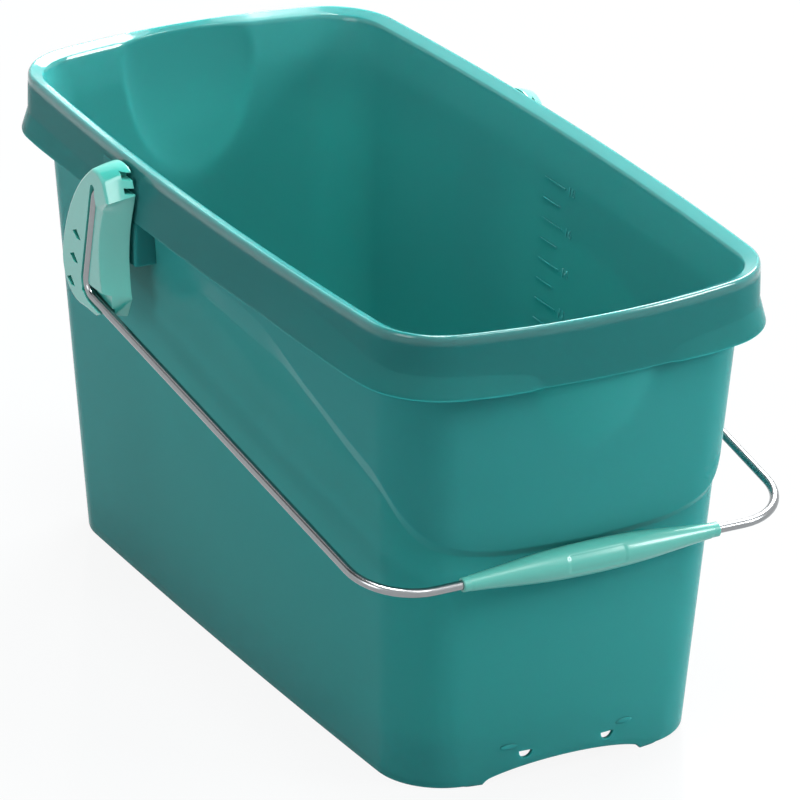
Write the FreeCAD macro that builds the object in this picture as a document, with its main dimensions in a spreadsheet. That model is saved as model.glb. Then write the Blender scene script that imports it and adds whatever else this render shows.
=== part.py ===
"""Rectangular cleaning bucket of about twenty litres: a moulded tub with a skirted
rim, and a bent wire bail with two clips and a grip.

Frame: +Z up, X across the tub, Y along it, origin on the ground under the middle of
the tub. The bail rests down against the end wall at -Y. Lengths are millimetres.
"""
import math
import os

import FreeCAD
import Part
import Sketcher

doc = FreeCAD.newDocument("CleaningBucket")

# Driving dimensions

SIZES = {
    # Tub wall: its outline on the ground and the same outline carried up to the rim
    "tub_height": 270.0,
    "base_length": 411.8,
    "base_width": 179.6,
    "base_corner": 38.0,
    "base_end_bow": 4.0,
    "base_side_bow": 2.0,
    "top_length": 453.0,
    "top_width": 209.0,
    "top_corner": 38.0,
    "wall": 2.5,
    "floor_plate": 2.6,
    "foot_height": 20.0,
    # Rim: a sloping band outside the wall, and the skirt that hangs from its edge
    "rim_length": 471.0,
    "rim_width": 226.5,
    "rim_corner": 43.5,
    "end_bow": 6.6,
    "side_bow": 6.9,
    "rim_drop": 2.5,
    "rim_lip": 1.2,
    "rim_plate": 2.6,
    "band_width": 8.3,
    "skirt_depth": 34.0,
    "skirt_flare": 1.0,
    "skirt_wall": 2.4,
    "flare_depth": 28.0,
    # Ledge: above a soft line round the near end the wall stands out a little
    "ledge_step": 1.5,
    "ledge_front_height": 138.0,
    "ledge_corner_height": 158.0,
    "ledge_slope_height": 173.0,
    "ledge_bend_height": 202.0,
    "ledge_side_height": 213.0,
    "ledge_front_reach": 216.5,
    "ledge_corner_reach": 211.0,
    "ledge_slope_reach": 190.0,
    "ledge_bend_reach": 100.0,
    "ledge_side_reach": 60.0,
    "ledge_end_reach": 30.0,
    # Pouring spout in the middle of each end wall: half an ellipsoid leaning with it
    "spout_half_width": 42.0,
    "spout_depth": 85.0,
    "spout_bulge": 11.0,
    "spout_sink": 3.6,
    # Foot: an arch under each end wall and two drain holes above it
    "arch_width": 96.0,
    "arch_height": 9.2,
    "drain_spacing": 49.0,
    "drain_height": 14.8,
    "drain_radius": 2.4,
    # Bearing boss between wall and skirt on each long side
    "boss_width": 39.0,
    "boss_depth": 61.0,
    "boss_inset": 0.9,
    # Bail wire: its ends turn in the bosses, run down the clips and out to the grip
    "pivot_reach": 75.0,
    "pivot_height": 250.5,
    "wire_radius": 2.5,
    "bore_clearance": 0.08,
    "pin_depth": 10.2,
    "pin_end_gap": 0.5,
    "arm_spread": 132.5,
    "clip_run_reach": 13.5,
    "clip_run_drop": 63.0,
    "corner_spread": 124.0,
    "grip_reach": 230.3,
    "grip_height": 131.0,
    "pin_bend": 5.0,
    "clip_bend": 9.0,
    "corner_bend": 33.0,
    # Clip on each end of the bail, measured from the pivot
    "clip_gap": 0.8,
    "clip_thickness": 13.2,
    "clip_fit": 0.05,
    "clip_lead": 1.2,
    "clip_head_reach": 1.3,
    "clip_head_height": 15.5,
    "clip_head_round": 23.5,
    "clip_brow_reach": 20.5,
    "clip_brow_height": 15.6,
    "clip_tip_reach": 26.4,
    "clip_tip_height": 3.2,
    "clip_neck_reach": 22.6,
    "clip_neck_drop": 9.0,
    "clip_front_round": 82.8,
    "clip_heel_reach": 22.0,
    "clip_heel_drop": 58.0,
    "clip_toe_reach": 16.4,
    "clip_toe_drop": 69.7,
    "clip_ball_reach": 3.0,
    "clip_ball_drop": 72.0,
    "clip_sole_reach": 12.0,
    "clip_sole_drop": 71.5,
    "clip_sole_round": 22.0,
    "clip_back_reach": 38.0,
    "clip_back_drop": 50.0,
    "clip_back_round": 85.0,
    # The same corners on the clip's outer face, where the front slants back
    "face_head_reach": 1.2,
    "face_head_height": 11.3,
    "face_head_round": 15.0,
    "face_brow_reach": 13.0,
    "face_brow_height": 7.8,
    "face_tip_reach": 18.3,
    "face_tip_drop": 2.4,
    "face_neck_reach": 7.2,
    "face_neck_drop": 9.1,
    "face_front_round": 57.3,
    "face_heel_reach": 4.0,
    "face_toe_reach": 9.8,
    "face_toe_drop": 67.5,
    "front_step_depth": 1.85,
    "front_step_drop": 4.0,
    "heel_step_depth": 5.2,
    "tooth_pitch": 7.2,
    "tooth_gap": 3.6,
    "tooth_cut": 5.0,
    "tooth_reach": 12.0,
    "tooth_height": 12.6,
    "window_width": 4.0,
    "window_height": 5.2,
    "window_depth": 4.0,
    "window_reach": 18.3,
    "window_drop": 32.7,
    "window_step_reach": 4.05,
    "window_step_drop": 14.8,
    # Grip: a spindle on the middle of the wire
    "grip_half_length": 76.0,
    "grip_collar": 5.0,
    "grip_end_radius": 3.9,
    "grip_neck": 54.0,
    "grip_neck_radius": 5.6,
    "grip_shoulder": 36.0,
    "grip_shoulder_radius": 7.4,
    "grip_radius": 8.8,
    "grip_clearance": 0.06,
    # One overrun for cuts that pass right through
    "overrun": 5.0,
}

sheet = doc.addObject("Spreadsheet::Sheet", "Sizes")
for row, (alias, size) in enumerate(SIZES.items(), start=1):
    sheet.set(f"A{row}", alias)
    sheet.set(f"B{row}", str(size))
    sheet.setAlias(f"B{row}", alias)
doc.recompute()


def value(expression):
    """Return the number that an expression of the sheet's aliases gives."""
    return float(sheet.evalExpression(expression))


def bound(obj, **expressions):
    """Bind each named property of an object to an expression on the sheet."""
    for name, expression in expressions.items():
        obj.setExpression(name.replace("__", "."), expression)
    return obj


# Outlines: a rectangle with bowed sides and round corners, as a sketch of eight arcs


def section(name, length, width, end_bow, side_bow, corner, level):
    """Return a level sketch of a bowed rectangle with tangent corner arcs.

    length, width: size between the corners, before the bows; all are expressions.
    """
    side_radius = f"((({length}) / 2 - ({corner}))^2 + ({side_bow})^2) / (2 * ({side_bow}))"
    end_radius = f"((({width}) / 2 - ({corner}))^2 + ({end_bow})^2) / (2 * ({end_bow}))"
    side_inset = f"{side_radius} - ({width}) / 2 - ({side_bow})"
    end_inset = f"{end_radius} - ({length}) / 2 - ({end_bow})"
    rs, re, rc = value(side_radius), value(end_radius), value(corner)
    sx, ey = value(side_inset), value(end_inset)
    # Corner centre: where circles about both arc centres cross in the first quadrant
    gap = math.hypot(sx, ey)
    near, far = rs - rc, re - rc
    along = (near ** 2 - far ** 2 + gap ** 2) / (2 * gap)
    aside = math.sqrt(near ** 2 - along ** 2)
    ux, uy = sx / gap, -ey / gap
    cx = -sx + along * ux - aside * uy
    cy = along * uy + aside * ux
    side_turn = math.atan2(cy, cx + sx)
    end_turn = math.atan2(cy + ey, cx)

    sketch = doc.addObject("Sketcher::SketchObject", name)
    plane = FreeCAD.Vector(0, 0, 1)
    centres = [
        ((-sx, 0), rs, -side_turn, side_turn),
        ((cx, cy), rc, side_turn, end_turn),
        ((0, -ey), re, end_turn, math.pi - end_turn),
        ((-cx, cy), rc, math.pi - end_turn, math.pi - side_turn),
        ((sx, 0), rs, math.pi - side_turn, math.pi + side_turn),
        ((-cx, -cy), rc, math.pi + side_turn, math.pi + end_turn),
        ((0, ey), re, math.pi + end_turn, 2 * math.pi - end_turn),
        ((cx, -cy), rc, 2 * math.pi - end_turn, 2 * math.pi - side_turn),
    ]
    for (x, y), radius, start, end in centres:
        circle = Part.Circle(FreeCAD.Vector(x, y, 0), plane, radius)
        sketch.addGeometry(Part.ArcOfCircle(circle, start, end), False)
    count = len(centres)
    for index in range(count):
        sketch.addConstraint(Sketcher.Constraint("Tangent", index, 2, (index + 1) % count, 1))
    for index, axis in ((0, -1), (4, -1), (2, -2), (6, -2)):
        sketch.addConstraint(Sketcher.Constraint("PointOnObject", index, 3, axis))
    for index in (3, 5, 7):
        sketch.addConstraint(Sketcher.Constraint("Equal", 1, index))
    sketch.addConstraint(Sketcher.Constraint("Equal", 0, 4))
    sketch.addConstraint(Sketcher.Constraint("Equal", 2, 6))
    dimensions = [
        ("corner", Sketcher.Constraint("Radius", 1, rc), corner),
        ("side", Sketcher.Constraint("Radius", 0, rs), side_radius),
        ("end", Sketcher.Constraint("Radius", 2, re), end_radius),
        ("right", Sketcher.Constraint("DistanceX", 0, 3, -1, 1, sx), side_inset),
        ("left", Sketcher.Constraint("DistanceX", -1, 1, 4, 3, sx), side_inset),
        ("far", Sketcher.Constraint("DistanceY", 2, 3, -1, 1, ey), end_inset),
        ("near", Sketcher.Constraint("DistanceY", -1, 1, 6, 3, ey), end_inset),
    ]
    for label, constraint, expression in dimensions:
        index = sketch.addConstraint(constraint)
        sketch.renameConstraint(index, label)
        sketch.setExpression(f"Constraints.{label}", expression)
    bound(sketch, Placement__Base__z=level)
    return sketch


def wall_outline(level, inset):
    """Return section arguments for the tub wall at a level, moved in by an inset."""
    share = f"(({level}) / Sizes.tub_height)"

    def between(low, high):
        return f"(Sizes.{low} + (Sizes.{high} - Sizes.{low}) * {share})"

    return dict(
        length=f"{between('base_length', 'top_length')} - 2 * ({inset})",
        width=f"{between('base_width', 'top_width')} - 2 * ({inset})",
        end_bow=between("base_end_bow", "end_bow"),
        side_bow=between("base_side_bow", "side_bow"),
        corner=f"{between('base_corner', 'top_corner')} - ({inset})",
        level=level,
    )


def rim_outline(level, inset):
    """Return section arguments for the skirt's outside at a level, moved in by an inset."""
    inward = f"(({inset}) - Sizes.skirt_flare * (Sizes.tub_height - ({level})) / Sizes.skirt_depth)"
    return dict(
        length=f"Sizes.rim_length - 2 * {inward}",
        width=f"Sizes.rim_width - 2 * {inward}",
        end_bow="Sizes.end_bow",
        side_bow="Sizes.side_bow",
        corner=f"Sizes.rim_corner - {inward}",
        level=level,
    )


def loft(name, lower, upper):
    """Return a ruled solid between two outlines."""
    solid = doc.addObject("Part::Loft", name)
    solid.Sections = [section(f"{name}Lower", **lower), section(f"{name}Upper", **upper)]
    solid.Solid = True
    solid.Ruled = True
    return solid


def fuse(name, *shapes):
    """Return one object that joins several."""
    joined = doc.addObject("Part::MultiFuse", name)
    joined.Shapes = list(shapes)
    return joined


def common(name, base, tool):
    """Return what two objects share."""
    shared = doc.addObject("Part::Common", name)
    shared.Base = base
    shared.Tool = tool
    return shared


def cut(name, base, *tools):
    """Return the first object with the others taken away, one after another."""
    for tool in tools:
        remainder = doc.addObject("Part::Cut", name)
        remainder.Base = base
        remainder.Tool = tool
        base = remainder
    return base


# Sketched outlines of straight lines and arcs


def arc_between(start, end, radius, left):
    """Return the short arc of a radius between two points, with its centre left or right."""
    chord = end - start
    height = math.sqrt(radius ** 2 - (chord.Length / 2) ** 2)
    normal = FreeCAD.Vector(-chord.y, chord.x, 0).normalize()
    centre = (start + end) * 0.5 + normal * (height if left else -height)
    first, last = (start, end) if left else (end, start)
    turn = [math.atan2(point.y - centre.y, point.x - centre.x) for point in (first, last)]
    if turn[1] < turn[0]:
        turn[1] += 2 * math.pi
    return Part.ArcOfCircle(Part.Circle(centre, FreeCAD.Vector(0, 0, 1), radius), *turn)


def outline(sketch, corners):
    """Draw a closed outline whose corners are (x, y, round) expressions.

    round: None for a line to the next corner, or (radius expression, centre on left).
    """
    places = [FreeCAD.Vector(value(x), value(y), 0) for x, y, _ in corners]
    first = sketch.GeometryCount
    count = len(corners)
    starts = []
    for index, (_, _, curve) in enumerate(corners):
        start, end = places[index], places[(index + 1) % count]
        if curve is None:
            sketch.addGeometry(Part.LineSegment(start, end), False)
            starts.append(1)
        else:
            sketch.addGeometry(arc_between(start, end, value(curve[0]), curve[1]), False)
            starts.append(1 if curve[1] else 2)
    for index, (x, y, curve) in enumerate(corners):
        edge, following = first + index, first + (index + 1) % count
        sketch.addConstraint(Sketcher.Constraint(
            "Coincident", edge, 3 - starts[index], following, starts[(index + 1) % count]))
        place = places[index]
        for kind, text, place in (("DistanceX", x, place.x), ("DistanceY", y, place.y)):
            if place > 0:
                held = Sketcher.Constraint(kind, -1, 1, edge, starts[index], place)
            else:
                held = Sketcher.Constraint(kind, edge, starts[index], -1, 1, -place)
                text = f"-({text})"
            bind_constraint(sketch, held, text)
        if curve is not None:
            bind_constraint(sketch, Sketcher.Constraint("Radius", edge, value(curve[0])), curve[0])


def bind_constraint(sketch, constraint, expression):
    """Add a dimension to a sketch and bind it to an expression on the sheet."""
    index = sketch.addConstraint(constraint)
    sketch.setExpression(f"Constraints[{index}]", expression)


def body_sketch(body, name, role, **offset):
    """Return a sketch on one of a body's origin planes, moved off it by expressions."""
    sketch = body.newObject("Sketcher::SketchObject", name)
    plane = next(item for item in body.Origin.OriginFeatures if item.Role == role)
    sketch.AttachmentSupport = (plane, "")
    sketch.MapMode = "FlatFace"
    for axis, expression in offset.items():
        sketch.setExpression(f"AttachmentOffset.Base.{axis}", expression)
    return sketch


# Tub

TOP = "Sizes.tub_height"
SKIRT_EDGE = "Sizes.tub_height - Sizes.skirt_depth"
FLARE_START = "Sizes.tub_height - Sizes.flare_depth"
BAND_EDGE = "Sizes.tub_height - Sizes.rim_drop"
FLOOR_TOP = "Sizes.foot_height + Sizes.floor_plate"
SKIRT_FACE = "(Sizes.rim_width / 2 + Sizes.side_bow + Sizes.skirt_flare)"
BELOW = "-Sizes.overrun"


def ledge_zone(name):
    """Return a prism across the tub that holds all above the ledge line."""
    zone = doc.addObject("Sketcher::SketchObject", f"{name}Side")
    zone.Placement = FreeCAD.Placement(
        FreeCAD.Vector(0, 0, 0), FreeCAD.Rotation(FreeCAD.Vector(1, 1, 1), 120))
    front = "-(Sizes.rim_length / 2 + Sizes.end_bow + Sizes.overrun)"
    above = "Sizes.tub_height + Sizes.overrun"
    reaches = [
        (front, above),
        (front, "Sizes.ledge_front_height"),
        ("-Sizes.ledge_front_reach", "Sizes.ledge_front_height"),
        ("-Sizes.ledge_corner_reach", "Sizes.ledge_corner_height"),
        ("-Sizes.ledge_slope_reach", "Sizes.ledge_slope_height"),
        ("-Sizes.ledge_bend_reach", "Sizes.ledge_bend_height"),
        ("-Sizes.ledge_side_reach", "Sizes.ledge_side_height"),
        ("Sizes.ledge_end_reach", "Sizes.ledge_side_height"),
        ("Sizes.ledge_end_reach", above),
    ]
    outline(zone, [(y, z, None) for y, z in reaches])
    prism = doc.addObject("Part::Extrusion", name)
    prism.Base = zone
    prism.DirMode = "Custom"
    prism.Dir = FreeCAD.Vector(1, 0, 0)
    prism.Solid = True
    prism.Symmetric = True
    bound(prism, LengthFwd="Sizes.rim_width + 2 * Sizes.side_bow + 2 * Sizes.overrun")
    return prism


def spout(name, side, inset):
    """Return the half ellipsoid that bulges an end wall at the rim, near or far."""
    lean = "atan((Sizes.top_length + 2 * Sizes.end_bow - Sizes.base_length - 2 * Sizes.base_end_bow)" \
        " / 2 / Sizes.tub_height)"
    bulge = doc.addObject("Part::Ellipsoid", name)
    bulge.Angle1 = -90
    bulge.Angle2 = 0
    bulge.Placement = FreeCAD.Placement(
        FreeCAD.Vector(0, 0, 0), FreeCAD.Rotation(FreeCAD.Vector(-side, 0, 0), value(lean)))
    bound(
        bulge,
        Radius1="Sizes.spout_depth",
        Radius2="Sizes.spout_half_width",
        Radius3="Sizes.spout_bulge",
        Placement__Rotation__Angle=lean,
        Placement__Base__y=f"{side} * (Sizes.top_length / 2 + Sizes.end_bow"
                           f" - Sizes.spout_sink - ({inset}))",
        Placement__Base__z="Sizes.tub_height - Sizes.rim_drop",
    )
    return bulge


def cylinder(name, radius, length, axis, **place):
    """Return a cylinder along an axis that starts at a place given by expressions."""
    round_bar = doc.addObject("Part::Cylinder", name)
    round_bar.Placement = FreeCAD.Placement(
        FreeCAD.Vector(0, 0, 0), FreeCAD.Rotation(FreeCAD.Vector(0, 0, 1), FreeCAD.Vector(*axis)))
    bound(round_bar, Radius=radius, Height=length)
    for direction, expression in place.items():
        round_bar.setExpression(f"Placement.Base.{direction}", expression)
    return round_bar


def boss(name, side):
    """Return the block between wall and skirt that holds one end of the bail."""
    block = doc.addObject("Part::Box", name)
    outer = "(Sizes.rim_width / 2 + Sizes.side_bow - Sizes.boss_inset)"
    inner = "(Sizes.base_width / 2)"
    bound(
        block,
        Length=f"{outer} - {inner}",
        Width="Sizes.boss_width",
        Height="Sizes.boss_depth - Sizes.rim_drop",
        Placement__Base__x=inner if side > 0 else f"-{outer}",
        Placement__Base__y="Sizes.pivot_reach - Sizes.boss_width / 2",
        Placement__Base__z="Sizes.tub_height - Sizes.boss_depth",
    )
    return block


def tub():
    """Return the moulded tub."""
    rim = cut(
        "Rim",
        loft("RimBlock", rim_outline(SKIRT_EDGE, "0"), rim_outline(TOP, "0")),
        loft("RimHollow", rim_outline(f"{SKIRT_EDGE} - Sizes.overrun", "Sizes.skirt_wall"),
             rim_outline(f"{TOP} - Sizes.rim_plate - Sizes.rim_drop", "Sizes.skirt_wall")),
    )
    wall = loft("Wall", wall_outline("0", "0"), wall_outline(FLARE_START, "0"))
    stepped = loft("SteppedWall", wall_outline("0", "-Sizes.ledge_step"),
                   wall_outline(FLARE_START, "-Sizes.ledge_step"))
    ledge = common("Ledge", stepped, ledge_zone("LedgeZone"))
    shoulder = loft("Shoulder", wall_outline(FLARE_START, "0"),
                    rim_mouth(BAND_EDGE, "Sizes.band_width - Sizes.wall"))
    outside = fuse("Outside", rim, wall, shoulder, ledge, spout("SpoutNear", -1, "0"),
                   spout("SpoutFar", 1, "0"), boss("BossLeft", -1), boss("BossRight", 1))

    basin = loft("Basin", wall_outline(FLOOR_TOP, "Sizes.wall"), wall_outline(FLARE_START, "Sizes.wall"))
    flare = loft("Flare", wall_outline(FLARE_START, "Sizes.wall"),
                 rim_mouth(BAND_EDGE, "Sizes.band_width"))
    band = loft("Band", rim_mouth(BAND_EDGE, "Sizes.band_width"), rim_mouth(TOP, "Sizes.rim_lip"))
    foot = loft("FootHollow", wall_outline(BELOW, "Sizes.wall"),
                wall_outline("Sizes.foot_height", "Sizes.wall"))

    reach = "(Sizes.base_length / 2 + Sizes.base_end_bow + 2 * Sizes.overrun)"
    arch_radius = "((Sizes.arch_width / 2)^2 + Sizes.arch_height^2) / (2 * Sizes.arch_height)"
    along = (0, 1, 0)
    arch = cylinder("FootArch", arch_radius, f"2 * {reach}", along, y=f"-{reach}",
                    z=f"Sizes.arch_height - {arch_radius}")
    drains = [
        cylinder(f"Drain{name}", "Sizes.drain_radius", f"2 * {reach}", along, y=f"-{reach}",
                 x=f"{side} * Sizes.drain_spacing / 2", z="Sizes.drain_height")
        for name, side in (("Left", -1), ("Right", 1))
    ]
    pivots = [
        cylinder(f"Pivot{name}", "Sizes.wire_radius + Sizes.bore_clearance",
                 "Sizes.pin_depth + Sizes.overrun", (side, 0, 0),
                 x=f"{side} * ({SKIRT_FACE} - Sizes.pin_depth - Sizes.pin_end_gap)",
                 y="Sizes.pivot_reach", z="Sizes.pivot_height")
        for name, side in (("Left", -1), ("Right", 1))
    ]
    moulding = cut("Tub", outside, basin, flare, band, foot, arch, *drains, *pivots,
                   spout("SpoutNearInside", -1, "Sizes.wall"), spout("SpoutFarInside", 1, "Sizes.wall"))
    moulding.Label = "tub"
    return moulding


def rim_mouth(level, inset):
    """Return section arguments for the rim's outline moved in, with no flare."""
    return dict(
        length=f"Sizes.rim_length - 2 * ({inset})",
        width=f"Sizes.rim_width - 2 * ({inset})",
        end_bow="Sizes.end_bow",
        side_bow="Sizes.side_bow",
        corner=f"Sizes.rim_corner - ({inset})",
        level=level,
    )


# Bail wire


def rounded_path(points, radii):
    """Return a wire of straight runs through the points, with an arc at each inner one."""
    edges = []
    start = points[0]
    for index, radius in enumerate(radii, start=1):
        corner = points[index]
        back = (points[index - 1] - corner).normalize()
        ahead = (points[index + 1] - corner).normalize()
        half = back.getAngle(ahead) / 2
        tangent = radius / math.tan(half)
        entry = corner + back * tangent
        leave = corner + ahead * tangent
        centre = corner + (back + ahead).normalize() * (radius / math.sin(half))
        middle = centre + (corner - centre).normalize() * radius
        edges.append(Part.LineSegment(start, entry).toShape())
        edges.append(Part.Arc(entry, middle, leave).toShape())
        start = leave
    edges.append(Part.LineSegment(start, points[-1]).toShape())
    return Part.Wire(edges)


def swept(path, profile):
    """Return a solid swept along a path by a closed profile at its start."""
    shell = Part.BRepOffsetAPI.MakePipeShell(path)
    shell.add(profile)
    shell.build()
    shell.makeSolid()
    return shell.shape()


def bail_points():
    """Return the bail's corner points on the left side, from the pin's end to the grip."""
    pin_end = value(f"{SKIRT_FACE} - Sizes.pin_depth")
    spread = value("Sizes.arm_spread")
    pivot = FreeCAD.Vector(-spread, value("Sizes.pivot_reach"), value("Sizes.pivot_height"))
    run = FreeCAD.Vector(0, value("Sizes.clip_run_reach"), -value("Sizes.clip_run_drop"))
    corner = FreeCAD.Vector(
        -value("Sizes.corner_spread"), -value("Sizes.grip_reach"), value("Sizes.grip_height"))
    return [FreeCAD.Vector(-pin_end, pivot.y, pivot.z), pivot, pivot + run, corner]


def bail_wire():
    """Return the bent wire: both pins, both arms and the bar through the grip."""
    left = bail_points()
    right = [FreeCAD.Vector(-point.x, point.y, point.z) for point in reversed(left)]
    bends = [value(f"Sizes.{name}") for name in ("pin_bend", "clip_bend", "corner_bend")]
    path = rounded_path(left + right, bends + bends[::-1])
    ring = Part.Circle(left[0], FreeCAD.Vector(1, 0, 0), value("Sizes.wire_radius"))
    profile = Part.Wire(ring.toShape())
    bent = doc.addObject("Part::Feature", "BailWire")
    bent.Shape = swept(path, profile)
    bent.Label = "bail_wire"
    return bent


# Clips


def wire_groove(side):
    """Return the open channel along a clip that the wire lies in."""
    _, pivot, bend, corner = bail_points()
    fit = value("Sizes.wire_radius + Sizes.clip_fit")
    outer = value(f"{SKIRT_FACE} + Sizes.clip_gap + Sizes.clip_thickness + Sizes.overrun")
    seat = value("Sizes.arm_spread - Sizes.clip_lead") - fit
    flat = [FreeCAD.Vector(side * seat, point.y, point.z) for point in (pivot, bend, corner)]
    path = rounded_path(flat, [value("Sizes.clip_bend")])
    run = (flat[1] - flat[0]).normalize()
    across = FreeCAD.Vector(1, 0, 0).cross(run) * fit
    depth = FreeCAD.Vector(side * (outer - seat), 0, 0)
    corners = [flat[0] - across, flat[0] + across, flat[0] + across + depth, flat[0] - across + depth]
    profile = Part.makePolygon(corners + corners[:1])
    start = Part.makeCylinder(fit, outer - seat, flat[0], FreeCAD.Vector(side, 0, 0))
    channel = doc.addObject("Part::Feature", "Groove")
    channel.Shape = swept(path, profile).fuse(start)
    return channel


def clip(label, side):
    """Return the clip on one end of the bail, left at side -1 and right at side 1."""
    body = doc.addObject("PartDesign::Body", f"{label}Block")
    bound(body, Placement__Base__y="Sizes.pivot_reach", Placement__Base__z="Sizes.pivot_height")
    inner = f"{side} * ({SKIRT_FACE} + Sizes.clip_gap)"
    outer = f"{side} * ({SKIRT_FACE} + Sizes.clip_gap + Sizes.clip_thickness)"

    low = [("Sizes.clip_sole_reach", "-Sizes.clip_sole_drop", ("Sizes.clip_sole_round", True)),
           ("Sizes.clip_back_reach", "-Sizes.clip_back_drop", ("Sizes.clip_back_round", True))]
    profile = body_sketch(body, f"{label}Profile", "YZ_Plane", z=inner)
    outline(profile, [
        ("-Sizes.clip_head_reach", "Sizes.clip_head_height", ("Sizes.clip_head_round", True)),
        ("-Sizes.clip_brow_reach", "Sizes.clip_brow_height", None),
        ("-Sizes.clip_tip_reach", "Sizes.clip_tip_height", None),
        ("-Sizes.clip_neck_reach", "-Sizes.clip_neck_drop", ("Sizes.clip_front_round", False)),
        ("-Sizes.clip_heel_reach", "-Sizes.clip_heel_drop", None),
        ("-Sizes.clip_toe_reach", "-Sizes.clip_toe_drop", None),
        ("-Sizes.clip_ball_reach", "-Sizes.clip_ball_drop", None),
        *low,
    ])
    face = body_sketch(body, f"{label}Face", "YZ_Plane", z=outer)
    outline(face, [
        ("Sizes.face_head_reach", "Sizes.face_head_height", ("Sizes.face_head_round", True)),
        ("-Sizes.face_brow_reach", "Sizes.face_brow_height", None),
        ("-Sizes.face_tip_reach", "-Sizes.face_tip_drop", None),
        ("-Sizes.face_neck_reach", "-Sizes.face_neck_drop", ("Sizes.face_front_round", False)),
        ("-Sizes.face_heel_reach", "-Sizes.clip_heel_drop", None),
        ("-Sizes.face_toe_reach", "-Sizes.face_toe_drop", None),
        ("-Sizes.clip_ball_reach", "-Sizes.clip_ball_drop", None),
        *low,
    ])
    block = body.newObject("PartDesign::AdditiveLoft", f"{label}Loft")
    block.Profile = profile
    block.Sections = [face]
    block.Ruled = True

    bore = body_sketch(body, f"{label}BoreRing", "YZ_Plane", z=inner)
    fit = "Sizes.wire_radius + Sizes.clip_fit"
    ring = Part.Circle(FreeCAD.Vector(0, 0, 0), FreeCAD.Vector(0, 0, 1), value(fit))
    bore.addGeometry(ring, False)
    bore.addConstraint(Sketcher.Constraint("Coincident", 0, 3, -1, 1))
    bind_constraint(bore, Sketcher.Constraint("Radius", 0, value(fit)), fit)

    away = "-(Sizes.clip_tip_reach + Sizes.overrun)"
    notches = body_sketch(body, f"{label}Notches", "YZ_Plane", z=inner)
    for index in range(2):
        middle = f"(Sizes.tooth_height - {index} * Sizes.tooth_pitch)"
        low, high = f"{middle} - Sizes.tooth_gap / 2", f"{middle} + Sizes.tooth_gap / 2"
        outline(notches, [("-Sizes.tooth_reach", low, None), ("-Sizes.tooth_reach", high, None),
                          (away, high, None), (away, low, None)])

    def run_at(drop):
        """Return how far behind the pivot the wire's run stands at a drop."""
        return f"Sizes.clip_run_reach * {drop} / Sizes.clip_run_drop"

    front = body_sketch(body, f"{label}Front", "YZ_Plane", z=outer)
    outline(front, [(run_at("Sizes.front_step_drop"), "-Sizes.front_step_drop", None),
                    (away, "-Sizes.front_step_drop", None),
                    (away, "-Sizes.clip_heel_drop", None),
                    (run_at("Sizes.clip_heel_drop"), "-Sizes.clip_heel_drop", None)])

    heel = body_sketch(body, f"{label}Heel", "YZ_Plane", z=outer)
    fall = ("(Sizes.pivot_height - Sizes.clip_run_drop - Sizes.grip_height)"
            " / (Sizes.pivot_reach + Sizes.clip_run_reach + Sizes.grip_reach)")
    below = f"-(Sizes.clip_run_drop + (Sizes.clip_run_reach - ({away})) * {fall})"
    outline(heel, [("Sizes.clip_run_reach", "-Sizes.clip_run_drop", None),
                   (run_at("Sizes.clip_heel_drop"), "-Sizes.clip_heel_drop", None),
                   (away, "-Sizes.clip_heel_drop", None), (away, below, None)])

    windows = body_sketch(body, f"{label}Windows", "YZ_Plane", z=outer)
    for index in range(3):
        reach = f"(Sizes.window_reach + {index} * Sizes.window_step_reach)"
        drop = f"-(Sizes.window_drop + {index} * Sizes.window_step_drop)"
        outline(windows, [
            (f"{reach} - Sizes.window_width / 2", f"{drop} - Sizes.window_height / 2", None),
            (f"{reach} + Sizes.window_width / 2", f"{drop} - Sizes.window_height / 2", None),
            (f"{reach} + Sizes.window_width / 2", f"{drop} + Sizes.window_height / 2", None),
            (f"{reach} - Sizes.window_width / 2", f"{drop} + Sizes.window_height / 2", None),
        ])
    cuts = (
        (bore, "Bore", "Sizes.clip_thickness", side > 0),
        (notches, "Teeth", "Sizes.tooth_cut", side > 0),
        (front, "Step", "Sizes.front_step_depth", side < 0),
        (heel, "HeelStep", "Sizes.heel_step_depth", side < 0),
        (windows, "Slots", "Sizes.window_depth", side < 0),
    )
    for sketch, name, depth, backwards in cuts:
        pocket = body.newObject("PartDesign::Pocket", f"{label}{name}")
        pocket.Profile = sketch
        pocket.Reversed = backwards
        bound(pocket, Length=depth)

    finished = cut(f"{label}Cut", body, wire_groove(side))
    finished.Label = label
    return finished


# Grip


def grip():
    """Return the spindle that turns on the middle of the wire."""
    body = doc.addObject("PartDesign::Body", "Grip")
    body.Label = "grip"
    bound(body, Placement__Base__y="-Sizes.grip_reach", Placement__Base__z="Sizes.grip_height")
    profile = body_sketch(body, "GripProfile", "XY_Plane")
    bore = "Sizes.wire_radius + Sizes.grip_clearance"
    crown = "(Sizes.grip_radius - Sizes.grip_shoulder_radius)"
    crown_round = f"(Sizes.grip_shoulder^2 + {crown}^2) / (2 * {crown})"
    half = [
        ("Sizes.grip_half_length", bore),
        ("Sizes.grip_half_length", "Sizes.grip_end_radius"),
        ("Sizes.grip_half_length - Sizes.grip_collar", "Sizes.grip_end_radius"),
        ("Sizes.grip_neck", "Sizes.grip_neck_radius"),
        ("Sizes.grip_shoulder", "Sizes.grip_shoulder_radius"),
    ]
    right = [(x, y, None) for x, y in half]
    right[-1] = (*half[-1], (crown_round, True))
    left = [(f"-({x})", y, None) for x, y in reversed(half)]
    outline(profile, right + left)
    turned = body.newObject("PartDesign::Revolution", "GripTurned")
    turned.Profile = profile
    turned.ReferenceAxis = (profile, ["H_Axis"])
    turned.Angle = 360
    return body


# Build, check and write


def check(obj):
    """Stop when an object failed or its shape is unusable."""
    shape = obj.Shape
    if shape.isNull() or not shape.isValid() or shape.Volume <= 0:
        raise RuntimeError(f"{obj.Label}: bad shape")


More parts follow.
